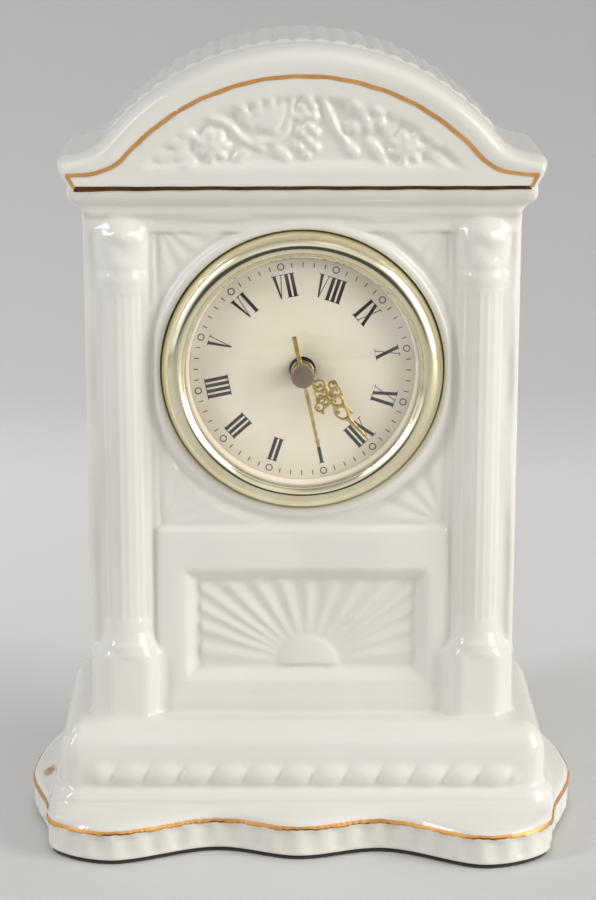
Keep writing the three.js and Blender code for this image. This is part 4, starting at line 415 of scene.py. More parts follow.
def skin(name, values, corner, cell, adaptivity):
    """The zero surface of a field as a mesh, with its shading taken from the field itself."""
    band = 3.0
    grid = openvdb.FloatGrid(band)
    grid.copyFromArray(np.clip(values, -band, band))
    points, tris, quads = grid.convertToPolygons(isovalue=0.0, adaptivity=adaptivity)
    faces = tris.tolist() + quads.tolist()
    index = np.clip(points, 0.001, np.array(values.shape) - 1.001)
    normals = np.stack([between(np.gradient(values, axis=axis), index) for axis in range(3)], 1)
    normals /= np.maximum(np.linalg.norm(normals, axis=1, keepdims=True), 1e-6)
    mesh = bpy.data.meshes.new(name)
    mesh.from_pydata(((points * cell + np.array(corner)) / 1000).tolist(), [], faces)
    mesh.polygons.foreach_set("use_smooth", np.ones(len(mesh.polygons), bool))
    mesh.normals_split_custom_set_from_vertices(normals.tolist())
    piece = bpy.data.objects.new(name, mesh)
    bpy.context.scene.collection.objects.link(piece)
    return piece


case = skin("porcelain_shell", field, (gx[0], gy[0], gz[0]), CELL, 0.03)


def linear(code):
    """An sRGB colour such as #f0ebe0 as linear light."""
    parts = [int(code[i : i + 2], 16) / 255 for i in (1, 3, 5)]
    return tuple(p / 12.92 if p <= 0.04045 else ((p + 0.055) / 1.055) ** 2.4 for p in parts) + (1,)


def add(tree, kind, sockets=(), **settings):
    """Adds one node, sets its settings, and fills or links its inputs."""
    node = tree.nodes.new("ShaderNode" + kind)
    for key, value in settings.items():
        setattr(node, key, value)
    for key, value in dict(sockets).items():
        if isinstance(value, bpy.types.NodeSocket):
            tree.links.new(value, node.inputs[key])
        else:
            node.inputs[key].default_value = value
    return node


def material(name, **shader):
    """A material with its one shader, whose inputs are named with _ for a space."""
    made = bpy.data.materials.new(name)
    made.use_nodes = True
    made.node_tree.nodes.clear()
    tree = made.node_tree
    body = add(tree, "BsdfPrincipled", {key.replace("_", " "): value for key, value in shader.items()})
    add(tree, "OutputMaterial", {"Surface": body.outputs[0]})
    return made, tree, body.inputs


def mottle(tree, patch, dark, pale, span=(0.0, 1.0), **noise):
    """Two colours in soft patches of a size in millimetres. Gives the place, the patches and the colour."""
    where = add(tree, "TexCoord").outputs["Object"]
    cloud = add(tree, "TexNoise", {"Vector": where, "Scale": 1000 / patch, **noise}).outputs["Fac"]
    tint = add(tree, "ValToRGB", {"Fac": cloud})
    for stop, spot, code in zip(tint.color_ramp.elements, span, (dark, pale)):
        stop.position, stop.color = spot, linear(code)
    return where, cloud, tint.outputs["Color"]


# Glazed porcelain: warm ivory under clear glass. The glaze lies in slow waves, so the lamps break up
# softly, and its colour drifts a little from place to place.
porcelain, tree, body = material("glazed_porcelain", IOR=1.5, Coat_Weight=0.0)
where, cloud, tint = mottle(tree, 45, "#ece8de", "#f3f0e8", (0.3, 0.75), Detail=3.0, Roughness=0.55)
wave = add(tree, "TexNoise", {"Vector": where, "Scale": 1000 / 9, "Detail": 1.5})
pits = add(tree, "TexNoise", {"Vector": where, "Scale": 1000 / 1.1, "Detail": 2.0})
ripple = add(tree, "Bump", {"Height": wave.outputs["Fac"], "Strength": 0.12, "Distance": 0.0004})
pores = {"Height": pits.outputs["Fac"], "Strength": 0.03, "Distance": 0.0001, "Normal": ripple.outputs[0]}
ripple = add(tree, "Bump", pores)
sheen = add(tree, "MapRange", {"Value": cloud, "To Min": 0.06, "To Max": 0.13})
# One brown kiln stain, 3 mm by 6 mm, sits under the glaze on the left of the flange.
aim = add(tree, "VectorMath", {0: where, 1: (-0.0689, -0.0048, 0.0120)}, operation="SUBTRACT")
press = add(tree, "VectorMath", {0: aim.outputs[0], 1: (1 / 1.9, 1 / 3.4, 1 / 3.0)}, operation="MULTIPLY")
ring_out = add(tree, "VectorMath", {0: press.outputs[0]}, operation="LENGTH").outputs["Value"]
frayed = add(tree, "Math", {0: pits.outputs["Fac"], 1: 0.0016, 2: ring_out}, operation="MULTIPLY_ADD")
stain = add(
    tree,
    "MapRange",
    {"Value": frayed.outputs[0], "From Min": 0.0011, "From Max": 0.0021, "To Min": 0.85, "To Max": 0.0},
    interpolation_type="SMOOTHSTEP",
)
glaze = add(tree, "MixRGB", {"Fac": stain.outputs[0], "Color1": tint, "Color2": linear("#ad763e")})
tree.links.new(glaze.outputs["Color"], body["Base Color"])
tree.links.new(sheen.outputs[0], body["Roughness"])
tree.links.new(ripple.outputs[0], body["Normal"])
case.data.materials.append(porcelain)
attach(case, "case")
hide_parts("porcelain_case")

# Gilt lines: liquid bright gold brushed by hand over the glaze and fired on, so each is a film with a
# wavering edge: round the foot's rim, along the arch and its ears, and straight under the pediment.


def shell(points):
    """The porcelain field at these points, in millimetres."""
    return between(field, (points - np.array((gx[0], gy[0], gz[0]))) / CELL)


def uphill(points):
    """The way out of the porcelain at these points."""
    steps = np.eye(3) * 0.35
    pull = np.stack([shell(points + s) - shell(points - s) for s in steps], 1)
    return pull / np.maximum(np.linalg.norm(pull, axis=1, keepdims=True), 1e-6)


def add_mesh(name, points, faces, smooth=True):
    """A piece from points in millimetres."""
    mesh = bpy.data.meshes.new(name)
    mesh.from_pydata((np.asarray(points, float) / 1000).tolist(), [], faces)
    mesh.polygons.foreach_set("use_smooth", [smooth] * len(mesh.polygons))
    mesh.update()
    piece = bpy.data.objects.new(name, mesh)
    bpy.context.scene.collection.objects.link(piece)
    return piece


# Bright gold over glaze: a warm mirror, a little darker where the brush left it thin.
BRUSH_MARK = 4
gilding, tree, body = material("fired_gold_film", Metallic=1.0)
_, brush, tint = mottle(tree, BRUSH_MARK, "#cf9350", "#edb775", (0.3, 0.7), Detail=4.0, Roughness=0.6)
gloss = add(tree, "MapRange", {"Value": brush, "To Min": 0.12, "To Max": 0.3})
tree.links.new(tint, body["Base Color"])
tree.links.new(gloss.outputs[0], body["Roughness"])
# Where the brush ran it on thinly the same gold is satin: lighter, and softer in what it mirrors.
satin, tree, body = material("thin_satin_gold", Metallic=0.5, Roughness=0.45)
_, _, tint = mottle(tree, BRUSH_MARK, "#dc9c52", "#f2b870", (0.3, 0.7), Detail=4.0, Roughness=0.6)
tree.links.new(tint, body["Base Color"])
FILM_ROWS, FILM_OFF = 5, 0.2


def strip_faces(rows, count, closed):
    """The faces between rows of points that run beside each other."""
    steps = [(i, (i + 1) % count) for i in range(count if closed else count - 1)]
    return [
        (r * count + i, r * count + j, (r + 1) * count + j, (r + 1) * count + i)
        for r in range(rows - 1)
        for i, j in steps
    ]


def gild(name, low, high, closed):
    """A film of gold between two lines, laid onto the porcelain. Round the rim its lowest row is bright."""
    points = np.vstack([low + (high - low) * t for t in np.linspace(0, 1, FILM_ROWS)])
    for _ in range(6):
        points = points - uphill(points) * shell(points)[:, None]
    points = points + uphill(points) * FILM_OFF
    piece = add_mesh(name, points, strip_faces(FILM_ROWS, len(low), closed))
    piece.data.materials.append(satin)
    piece.data.materials.append(gilding)
    for face in piece.data.polygons[: len(low) if closed else 0]:
        face.material_index = 1
    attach(piece, "case")


def resample(points, spacing, closed):
    points = np.asarray(points, float)
    if closed:
        points = np.vstack([points, points[:1]])
    run = np.concatenate([[0], np.cumsum(np.linalg.norm(np.diff(points, axis=0), axis=1))])
    way = np.linspace(0, run[-1], int(run[-1] / spacing) + 1)
    if closed:
        way = way[:-1]
    return np.stack([np.interp(way, run, points[:, k]) for k in range(points.shape[1])], 1), way


rim, way = resample(plan, 0.4, True)
hand = 0.12 * np.sin(way * 0.9) + 0.09 * np.sin(way * 0.37 + 1) + 0.08 * np.sin(way * 2.3)
gild(
    "foot_gilding",
    np.column_stack([rim, 8.65 + 0.7 * hand]),
    np.column_stack([rim, 9.75 + 0.5 * hand]),
    True,
)
middle = len(face_line) // 2
line, way = resample(face_line[middle + 2 :] + face_line[:middle], 0.4, False)
heading = np.gradient(line, axis=0)
heading /= np.linalg.norm(heading, axis=1, keepdims=True)
outward = np.column_stack([-heading[:, 1], heading[:, 0]])
hand = 0.07 * np.sin(way * 0.8) + 0.05 * np.sin(way * 0.33 + 2)
lower = line + outward * (-0.2 + hand)[:, None]
upper = line + outward * (0.85 + 0.5 * hand)[:, None]
gild(
    "arch_gilding",
    np.column_stack([lower[:, 0], np.full(len(line), -20.3), lower[:, 1]]),
    np.column_stack([upper[:, 0], np.full(len(line), -20.3), upper[:, 1]]),
    False,
)
# The ledge line is laid along the foot of the pediment, thicker at the left where the brush was full,
# and a short stroke at each end takes it up to the tip of the ear.


def stripe(name, low, high, gold):
    """A flat film of gold between two lines of points."""
    low, high = np.asarray(low), np.asarray(high)
    points = np.vstack([low + (high - low) * t for t in np.linspace(0, 1, FILM_ROWS)])
    piece = add_mesh(name, points, strip_faces(FILM_ROWS, len(low), False))
    piece.data.materials.append(gold)
    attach(piece, "case")


run = np.arange(-57.8, 57.81, 0.4)
hand = 0.06 * np.sin(run * 0.5) + 0.04 * np.sin(run * 0.23 + 1)
full = 0.5 * np.exp(-(run + 58) / 14)
stripe(
    "ledge_gilding",
    np.column_stack([run, np.full(run.size, -20.7), 174.5 - full + hand]),
    np.column_stack([run, np.full(run.size, -20.58), 175.4 + 0.5 * hand]),
    gilding,
)
for side in (-1, 1):
    bend = [(59.9, 178.2), (59.4, 177.2), (58.9, 176.2), (58.4, 175.3), (57.5, 174.9)]
    inner = [(58.6, 177.9), (58.4, 177.2), (58.0, 176.4), (57.7, 175.7), (57.3, 175.5)]
    stripe(
        "ear_gilding_left" if side < 0 else "ear_gilding_right",
        [(side * px, -20.66, pz) for px, pz in bend],
        [(side * px, -20.62, pz) for px, pz in inner],
        satin,
    )

# Felt pad: a sheet of charcoal wool felt cut a little inside the foot and glued under it, so that the
# glaze never touches the table. Its cut edge is slightly furry.
cut_line, _ = resample(plan, 0.8, True)
count = len(cut_line)
flow = np.roll(cut_line, -1, axis=0) - np.roll(cut_line, 1, axis=0)
flow /= np.linalg.norm(flow, axis=1, keepdims=True)
side_way = np.column_stack([flow[:, 1], -flow[:, 0]])
grow = np.random.default_rng(4)
points = []
levels = [(0.0, -1.45), (0.08, -1.12), (0.35, -1.0), (0.8, -1.0), (1.08, -1.1), (1.16, -1.45)]
for level, shift in levels:
    fur = grow.normal(0, 0.05, count)
    edge = cut_line + side_way * (shift + fur)[:, None]
    points += [(px, py, level) for px, py in edge]
faces = strip_faces(len(levels), count, True)
faces.append(tuple(range(count))[::-1])
faces.append(tuple(range((len(levels) - 1) * count, len(levels) * count)))
felt = add_mesh("felt_sheet", points, faces)

# Wool felt: matt charcoal, mottled by its fibres, with a soft bloom at grazing angles.
wool, tree, body = material("wool_felt", Roughness=0.95, Sheen_Weight=0.35, Sheen_Roughness=0.5)
_, fibre, tint = mottle(tree, 0.5, "#1d1d1f", "#3d3d40", Detail=6.0, Roughness=0.7)
nap = add(tree, "Bump", {"Height": fibre, "Strength": 0.6, "Distance": 0.0003})
tree.links.new(tint, body["Base Color"])
tree.links.new(nap.outputs[0], body["Normal"])
felt.data.materials.append(wool)
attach(felt, "case")
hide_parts("felt_pad")

# Grip ring: a ribbed band moulded in black rubber. It is stretched round the cup, and wedges the insert in
# the porcelain bore. Its shape comes straight from the CAD.
# Moulded rubber: near black, dull, with a fine mould grain and a grey bloom.
rubber, tree, body = material("moulded_rubber", Roughness=0.7)
where, _, tint = mottle(tree, 6, "#161616", "#2b2a29", Detail=4.0)
grain = add(tree, "TexNoise", {"Vector": where, "Scale": 1000 / 0.4, "Detail": 2.0})
skin_bump = add(tree, "Bump", {"Height": grain.outputs["Fac"], "Strength": 0.25, "Distance": 0.0001})
tree.links.new(tint, body["Base Color"])
tree.links.new(skin_bump.outputs[0], body["Normal"])
nodes["grip_ring"].data.materials.clear()
nodes["grip_ring"].data.materials.append(rubber)

# Movement: the moulded cup, its lid, the plastic train, the motor, the board and the button cell. These
# come straight from the CAD, with a fine bevel on every edge and the stuff that each is made of.


def stock(name, dark, pale, patch, grain, depth, strength, **shader):
    """A material mottled between two colours in patches, with a fine grain, both sized in millimetres."""
    made, tree, body = material(name, **shader)
    where, _, tint = mottle(tree, patch, dark, pale, (0.3, 0.7), Detail=3.0)
    fine = add(tree, "TexNoise", {"Vector": where, "Scale": 1000 / grain, "Detail": 2.0})
    bump = add(tree, "Bump", {"Height": fine.outputs["Fac"], "Strength": strength, "Distance": depth})
    tree.links.new(tint, body["Base Color"])
    tree.links.new(bump.outputs[0], body["Normal"])
    return made


# Spark-eroded black ABS for the cup and lid, smooth ivory acetal for the wheels, ferrite, laminated
# steel, enamelled copper, green solder mask, black epoxy, drawn nickel and stainless steel.
black_abs = stock("black_moulded_abs", "#151515", "#1f1f1f", 14, 0.35, 0.0001, 0.4, Roughness=0.5)
acetal = stock("ivory_acetal", "#dedacd", "#ebe7dc", 5, 0.5, 0.00003, 0.15, Roughness=0.35)
ferrite = stock("sintered_ferrite", "#36373a", "#4a4b4d", 1.5, 0.2, 0.00005, 0.4, Roughness=0.55, Metallic=0.6)
lamination = stock("stamped_motor_steel", "#8b8d90", "#a5a7a9", 4, 0.3, 0.00003, 0.3, Roughness=0.35, Metallic=1.0)
copper = stock("enamelled_copper", "#9a4f20", "#bd6c33", 1.2, 0.12, 0.00006, 0.7, Roughness=0.3, Metallic=1.0)
mask = stock("green_solder_mask", "#174527", "#1f5a34", 6, 0.6, 0.00004, 0.4, Roughness=0.25)
epoxy = stock("black_epoxy", "#0c0c0d", "#171718", 2, 0.3, 0.00005, 0.3, Roughness=0.3)
nickel = stock("drawn_nickel", "#b9b7b0", "#d2d0c9", 5, 0.4, 0.00002, 0.2, Roughness=0.22, Metallic=1.0)
stainless = stock("rolled_stainless", "#aeb0b2", "#c8c9ca", 6, 0.25, 0.00002, 0.25, Roughness=0.25, Metallic=1.0)
for look, names in (
    (black_abs, ("movement_cup", "rear_cover", "train_bridge", "battery_hatch", "setting_knob")),
    (acetal, ("seconds_wheel", "third_wheel", "centre_wheel", "intermediate_wheel")),
    (acetal, ("minute_wheel", "hour_wheel", "minute_arbor")),
    (ferrite, ("rotor",)),
    (lamination, ("stator", "coil_core")),
    (copper, ("coil_winding",)),
    (mask, ("circuit_board",)),
    (epoxy, ("chip",)),
    (nickel, ("quartz_crystal", "positive_contact", "negative_contact")),
    (stainless, ("button_cell", "bridge_screw_1", "bridge_screw_2", "bridge_screw_3")),
    (stainless, ("cover_screw_1", "cover_screw_2", "cover_screw_3")),
):
    for name in names:
        node = nodes[name]
        node.data.materials.clear()
        node.data.materials.append(look)
        edge = node.modifiers.new("broken_edges", "BEVEL")
        edge.width = 0.00008
        edge.segments = 2
        edge.limit_method = "ANGLE"
        edge.angle_limit = math.radians(40)

# Dial: a disc of thin aluminium, sprayed cream and printed in charcoal, with a round hole for the hands.
# The whole insert was set turned in the case, so twelve points down to the right.
DIAL_Y, TURN = -13.5, math.radians(138.35)
DIAL_R, DIAL_HOLE_R, DIAL_THICK = 31.2, 3.4, 0.5


def lathe(name, profile, sides=192):
    """A ring turned about the dial's axis from (radius, depth behind the dial) points."""
    points, faces = [], []
    for k in range(sides):
        a = 2 * math.pi * k / sides
        points += [(r * math.sin(a), DIAL_Y + d, AXIS_Z + r * math.cos(a)) for r, d in profile]
    count = len(profile)
    for k in range(sides):
        j = (k + 1) % sides
        for i in range(count):
            n = (i + 1) % count
            faces.append((k * count + i, j * count + i, j * count + n, k * count + n))
    piece = add_mesh(name, points, faces)
    tidy = bmesh.new()
    tidy.from_mesh(piece.data)
    bmesh.ops.remove_doubles(tidy, verts=tidy.verts, dist=1e-7)
    bmesh.ops.recalc_face_normals(tidy, faces=tidy.faces)
    tidy.to_mesh(piece.data)
    tidy.free()
    piece.data.set_sharp_from_angle(angle=math.radians(50))
    return piece


dial = lathe(
    "dial_plate",
    [
        (DIAL_HOLE_R, 0.06), (DIAL_HOLE_R + 0.06, 0), (12, 0), (22, 0), (DIAL_R - 0.1, 0),
        (DIAL_R, 0.1), (DIAL_R, DIAL_THICK), (DIAL_HOLE_R, DIAL_THICK),
    ],
)
# Sprayed cream enamel: satin, faintly stippled, a touch warmer in places.
cream = stock("cream_dial_enamel", "#faf0da", "#fff6e3", 12, 0.25, 0.00003, 0.12, Roughness=0.45)
dial.data.materials.append(cream)
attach(dial, "insert")
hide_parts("dial")

# The print: twelve numerals that stand on the centre, and a ring of minute strokes and five-minute circles.
FOOT_R, HEAD_R, THICK, THIN, SERIF = 19.2, 25.4, 0.88, 0.2, 0.18
WIDTHS = {"I": 1.42, "V": 3.2, "X": 3.2}
TICK_LOW_R, TICK_HIGH_R, TICK_HALF = 26.85, 28.1, 0.12
CIRCLE_R, CIRCLE_IN, CIRCLE_OUT, CIRCLE_SIDES = 27.45, 0.68, 0.94, 28
INK_OFF = 0.04
ink_points, ink_faces = [], []


def ink(shape, middle):
    """A flat patch of ink: points are across and up from the dial's centre, along the angle given."""
    base = len(ink_points)
    a = middle + TURN
    for across, up in shape:
        px = up * math.sin(a) + across * math.cos(a)
        pz = up * math.cos(a) - across * math.sin(a)
        ink_points.append((px, DIAL_Y - INK_OFF, AXIS_Z + pz))
    ink_faces.append(tuple(range(base, base + len(shape))))


def bar(left, right, low, high, middle):
    ink([(left, low), (right, low), (right, high), (left, high)], middle)


def stroke(start, end, wide, middle, foot=1.0):
    """A straight stroke with square ends that lie along the numeral's head and foot."""
    (foot_x, foot_r), (head_x, head_r), near, half = start, end, foot * wide / 2, wide / 2
    ink([(foot_x - near, foot_r), (foot_x + near, foot_r), (head_x + half, head_r), (head_x - half, head_r)], middle)


for hour, numeral in enumerate(["XII", "I", "II", "III", "IIII", "V", "VI", "VII", "VIII", "IX", "X", "XI"]):
    middle = 2 * math.pi * hour / 12
    pen = -sum(WIDTHS[c] for c in numeral) / 2
    for c in numeral:
        left, centre, right = pen, pen + WIDTHS[c] / 2, pen + WIDTHS[c]
        if c == "I":
            stroke((centre, FOOT_R), (centre, HEAD_R), THICK, middle)
            for level in (FOOT_R, HEAD_R - SERIF):
                bar(left, right, level, level + SERIF, middle)
        else:
            if c == "V":
                stroke((centre, FOOT_R), (left + 0.75, HEAD_R), THICK, middle, 0.3)
                stroke((centre, FOOT_R), (right - 0.6, HEAD_R), THIN, middle)
                feet = []
            else:
                stroke((right - 0.75, FOOT_R), (left + 0.75, HEAD_R), THICK, middle)
                stroke((left + 0.6, FOOT_R), (right - 0.6, HEAD_R), THIN, middle)
                feet = [(right - 0.75, FOOT_R, 0.75), (left + 0.6, FOOT_R, 0.5)]
            heads = [(left + 0.75, HEAD_R - SERIF, 0.75), (right - 0.6, HEAD_R - SERIF, 0.5)]
            for at, level, half in heads + feet:
                bar(at - half, at + half, level, level + SERIF, middle)
        pen = right
for minute in range(60):
    middle = 2 * math.pi * minute / 60
    if minute % 5:
        bar(-TICK_HALF, TICK_HALF, TICK_LOW_R, TICK_HIGH_R, middle)
        continue
    for k in range(CIRCLE_SIDES):
        a, b = (2 * math.pi * side / CIRCLE_SIDES for side in (k, k + 1))
        corners = ((a, CIRCLE_IN), (b, CIRCLE_IN), (b, CIRCLE_OUT), (a, CIRCLE_OUT))
        ink([(math.sin(t) * r, CIRCLE_R + math.cos(t) * r) for t, r in corners], middle)
numerals = add_mesh("dial_print", ink_points, ink_faces, False)
# Pad-printed ink: charcoal, flat, a shade thinner here and there.
charcoal = stock("charcoal_print", "#2b2a29", "#3a3937", 1.5, 0.2, 0.00001, 0.2, Roughness=0.6)
numerals.data.materials.append(charcoal)
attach(numerals, "insert")

# Hands: stamped from thin brass in a serpentine pattern of rings and scrolls, domed by the press and
# gilt. The hour and minute hands are pushed onto their pipes, and the seconds hand onto its pin.
FINE = 0.07
HAND_SPACE, SHEET_HALF, HAND_LIFT = 0.42, 0.1, 0.2


def stamped_hand(name, body_name, node_name, front, angle, low, high, shape, dome):
    """A domed hand from the signed distance of its flat pattern, across by along, in millimetres."""
    across = np.arange(low[0], high[0], FINE)
    along = np.arange(low[1], high[1], FINE)
    deep = np.arange(-HAND_SPACE, HAND_SPACE, FINE)
    flat = shape(across[:, None], along[None, :]).astype(np.float32)
    crown = SHEET_HALF + dome * np.sqrt(np.clip(-flat / 0.4, 0, 1))
    front_side = (-deep[None, :, None] - crown[:, None, :]) * 0.8
    solid = np.maximum(np.maximum(flat[:, None, :], front_side), deep[None, :, None] - SHEET_HALF)
    piece = skin(name, (solid / FINE).astype(np.float32), (low[0], -HAND_SPACE, low[1]), FINE, 0.02)
    spin = angle + TURN
    flat_points = np.empty(len(piece.data.vertices) * 3)
    piece.data.vertices.foreach_get("co", flat_points)
    p = flat_points.reshape(-1, 3) * 1000
    turned = np.column_stack([
        p[:, 0] * math.cos(spin) + p[:, 2] * math.sin(spin),
        p[:, 1] + DIAL_Y + front + HAND_LIFT,
        AXIS_Z + p[:, 2] * math.cos(spin) - p[:, 0] * math.sin(spin),
    ])
    piece.data.vertices.foreach_set("co", (turned / 1000).ravel())
    # The shading made before the turn no longer fits, and zeros give it back to the mesh.
    piece.data.normals_split_custom_set_from_vertices([(0, 0, 0)] * len(piece.data.vertices))
    piece.data.update()
    piece.data.materials.append(hand_gilt)
    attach(piece, body_name)
    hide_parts(node_name)


def hoop(a, b, at, radius, wide):
    return np.abs(np.hypot(a - at[0], b - at[1]) - radius) - wide


def taper(a, b, start, end, half_start, half_end):
    t = np.clip((b - start) / (end - start), 0, 1)
    return np.maximum(np.abs(a) - (half_start + (half_end - half_start) * t), np.maximum(start - b, b - end))


def serpentine(hub, bore, bud, scroll, loop, tip):
    """Pattern of one hand: hub, bud ring, a pair of scrolls with inner curls, a pierced loop, a point."""

    def pattern(a, b):
        d = np.maximum(np.hypot(a, b) - hub, bore - np.hypot(a, b))
        d = melt(d, taper(a, b, hub - 0.3, bud[0] - bud[1] + 0.2, 0.5, 0.4), 0.4)
        d = melt(d, hoop(a, b, (0, bud[0]), bud[1], 0.32), 0.3)
        d = melt(d, np.hypot(a + 0.35, b - bud[0] - 0.2) - 0.45, 0.3)
        for s in (-1, 1):
            d = melt(d, hoop(a, b, (s * scroll[1], scroll[0]), scroll[2], 0.32), 0.3)
            d = melt(d, np.hypot(a - s * (scroll[1] + 0.25), b - scroll[0] + 0.1) - 0.4, 0.3)
            arm = np.hypot(a - s * scroll[1] * 0.45, (b - scroll[0] - 0.9) * 1.3) - 0.75
            d = melt(d, arm, 0.5)
            d = melt(d, np.hypot((a - s * (scroll[1] + 0.4)) * 1.2, b - scroll[0] - scroll[2] - 0.5) - 0.55, 0.4)
        d = melt(d, taper(a, b, bud[0] + bud[1] - 0.3, loop[0] - loop[1] + 0.2, 0.6, 0.55), 0.4)
        d = melt(d, hoop(a, (b - loop[0]) * loop[2] + loop[0], (0, loop[0]), loop[1], 0.33), 0.3)
        d = melt(d, np.hypot(a - 0.5, b - loop[0] + 0.5) - 0.5, 0.4)
        near = loop[0] + loop[1] / loop[2]
        return melt(d, taper(a, b, near - 0.2, tip, 0.62, 0.3), 0.3)

    return pattern


# Gilt brass: yellow gold, bright on the domed crests, with a faint drawn grain.
hand_gilt = stock("gilt_brass", "#ccb064", "#e8d391", 2.0, 0.15, 0.00002, 0.35, Roughness=0.24, Metallic=1.0)
stamped_hand(
    "hour_hand_gilt", "hour", "hour_hand", -3.0, math.radians(-8), (-4.6, -3.3), (4.6, 17.4),
    serpentine(3.0, 2.05, (5.7, 1.5), (8.2, 2.5, 1.0), (11.8, 1.25, 0.75), 17.0), 0.14,
)
stamped_hand(
    "minute_hand_gilt", "minute", "minute_hand", -4.9, math.radians(-2.7), (-5.2, -2.7), (5.2, 25.0),
    serpentine(2.4, 1.2, (6.9, 1.6), (9.4, 3.0, 1.1), (14.3, 1.45, 0.7), 24.6), 0.16,
)


def needle(a, b):
    return taper(a, b, -10.4, 19.3, 0.62, 0.42)


stamped_hand(
    "seconds_hand_gilt", "seconds", "seconds_hand", -7.0, math.radians(29.3), (-1, -10.8), (1, 19.6), needle, 0.1,
)
cap = lathe(
    "seconds_cap",
    [
        (0, -8.8), (1.4, -8.8), (2.6, -8.8), (2.86, -8.73), (2.97, -8.6),
        (3.0, -8.4), (3.0, -6.72), (0.54, -6.72), (0.54, -7.6), (0, -7.6),
    ],
    96,
)
# Bronzed cap: the seconds hand's turned boss, flat faced, brown with a dull metal lustre.
bronze = stock("bronzed_brass", "#8f7a68", "#a08a76", 2.5, 0.12, 0.00002, 0.3, Roughness=0.42, Metallic=0.75)
cap.data.materials.append(bronze)
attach(cap, "seconds")

# Dial ring: a thin metal spacer that keeps the lens off the dial, sprayed cream with it. It lies loose
# between the two, and its sloped inside shows round the dial.
spacer = lathe(
    "dial_ring_pale",
    [(29.9, -2.35), (31.3, -2.35), (31.3, -0.15), (29.2, -0.15), (29.35, -0.6), (29.6, -1.4)],
)
spacer.data.materials.append(cream)
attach(spacer, "insert")
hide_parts("dial_ring")

# Lens: the domed crystal over the hands, moulded in clear acrylic. It is snapped in from behind, with its
# flange under the bezel's lip.
DOME_R, DOME_EDGE_R, DOME_EDGE, LENS_THICK = 78, 30.4, -5.0, 1.5


def dome(r):
    return DOME_EDGE - (math.sqrt(DOME_R**2 - r**2) - math.sqrt(DOME_R**2 - DOME_EDGE_R**2))


radii = np.linspace(0, DOME_EDGE_R - 0.1, 22)
crystal = lathe(
    "lens_crystal",
    [(r, dome(r)) for r in radii]
    + [(30.34, -4.15), (31.2, -4.15), (31.3, -4.05), (31.3, -2.5), (30.32, -2.5)]
    + [(r, dome(r) + LENS_THICK) for r in radii[::-1]],
)
# Clear acrylic: bends what is behind it a little, and shows the lamps on its dome. Lamps shine
# straight through it, and fine handling marks blur its reflection here and there.
acrylic = bpy.data.materials.new("clear_acrylic")
acrylic.use_nodes = True
tree = acrylic.node_tree
tree.nodes.clear()
where = add(tree, "TexCoord").outputs["Object"]
smear = add(tree, "TexNoise", {"Vector": where, "Scale": 1000 / 14, "Detail": 4.0})
marks = {"Value": smear.outputs["Fac"], "From Min": 0.35, "From Max": 0.8, "To Min": 0.0, "To Max": 0.02}
haze = add(tree, "MapRange", marks)
glassy = {"Base Color": (1, 1, 1, 1), "Transmission Weight": 1.0, "IOR": 1.49, "Roughness": haze.outputs[0]}
clear = add(tree, "BsdfPrincipled", glassy)
through = add(tree, "BsdfTransparent", {"Color": (0.93, 0.93, 0.92, 1)})
path = add(tree, "LightPath")
both = add(tree, "MixShader", {0: path.outputs["Is Shadow Ray"], 1: clear.outputs[0], 2: through.outputs[0]})
add(tree, "OutputMaterial", {"Surface": both.outputs[0]})
crystal.data.materials.append(acrylic)
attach(crystal, "insert")
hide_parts("lens")

# Bezel: the bright rim of the insert, spun from thin brass with a half-round front and a rolled lip over
# the lens, and plated pale gold. It is pressed onto the cup, and fills the recess in the porcelain.
CREST_R, CREST, RIM_WIDE, RIM_TALL, RIM_LOW = 32.6, -6.2, 4.0, 5.3, -0.9
rim_r = CREST_R + RIM_WIDE
crest = [
    (CREST_R + RIM_WIDE * math.cos(a), RIM_LOW - RIM_TALL * math.sin(a)) for a in np.linspace(0, math.pi / 2, 26)
]
lip = [(CREST_R - 1.9 * t, CREST + 1.2 * t * t) for t in np.linspace(0.08, 1, 12)]
bezel = lathe(
    "bezel_rim",
    [(30.2, 2.95), (rim_r - 0.1, 2.95), (rim_r, 2.85)]
    + crest
    + lip
    + [(30.45, -4.95), (30.4, -4.7), (30.4, -4.3), (31.6, -4.3), (31.6, 2.5), (30.2, 2.5)],
    256,
)
# Pale gold plate: champagne coloured, a clear mirror with faint turning marks.
plate = stock("champagne_gold_plate", "#f1e8c2", "#f9f3d6", 9, 0.2, 0.000008, 0.2, Roughness=0.16, Metallic=1.0)
bezel.data.materials.append(plate)
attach(bezel, "insert")
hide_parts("bezel")

# Camera: where the photograph was taken from, a little above the clock and far enough off to flatten it.
optics = bpy.data.cameras.new("camera")
optics.sensor_width, optics.lens = 36, 100.0
optics.clip_start, optics.clip_end = 0.05, 20
camera = bpy.data.objects.new("camera", optics)
camera.location = (-0.0092, -0.6474, 0.2703)
pitch, yaw = math.radians(14.63), math.radians(0.73)
ahead = Vector((math.sin(yaw) * math.cos(pitch), math.cos(yaw) * math.cos(pitch), -math.sin(pitch)))
camera.rotation_euler = ahead.to_track_quat("-Z", "Y").to_euler()
bpy.context.scene.collection.objects.link(camera)
bpy.context.scene.camera = camera

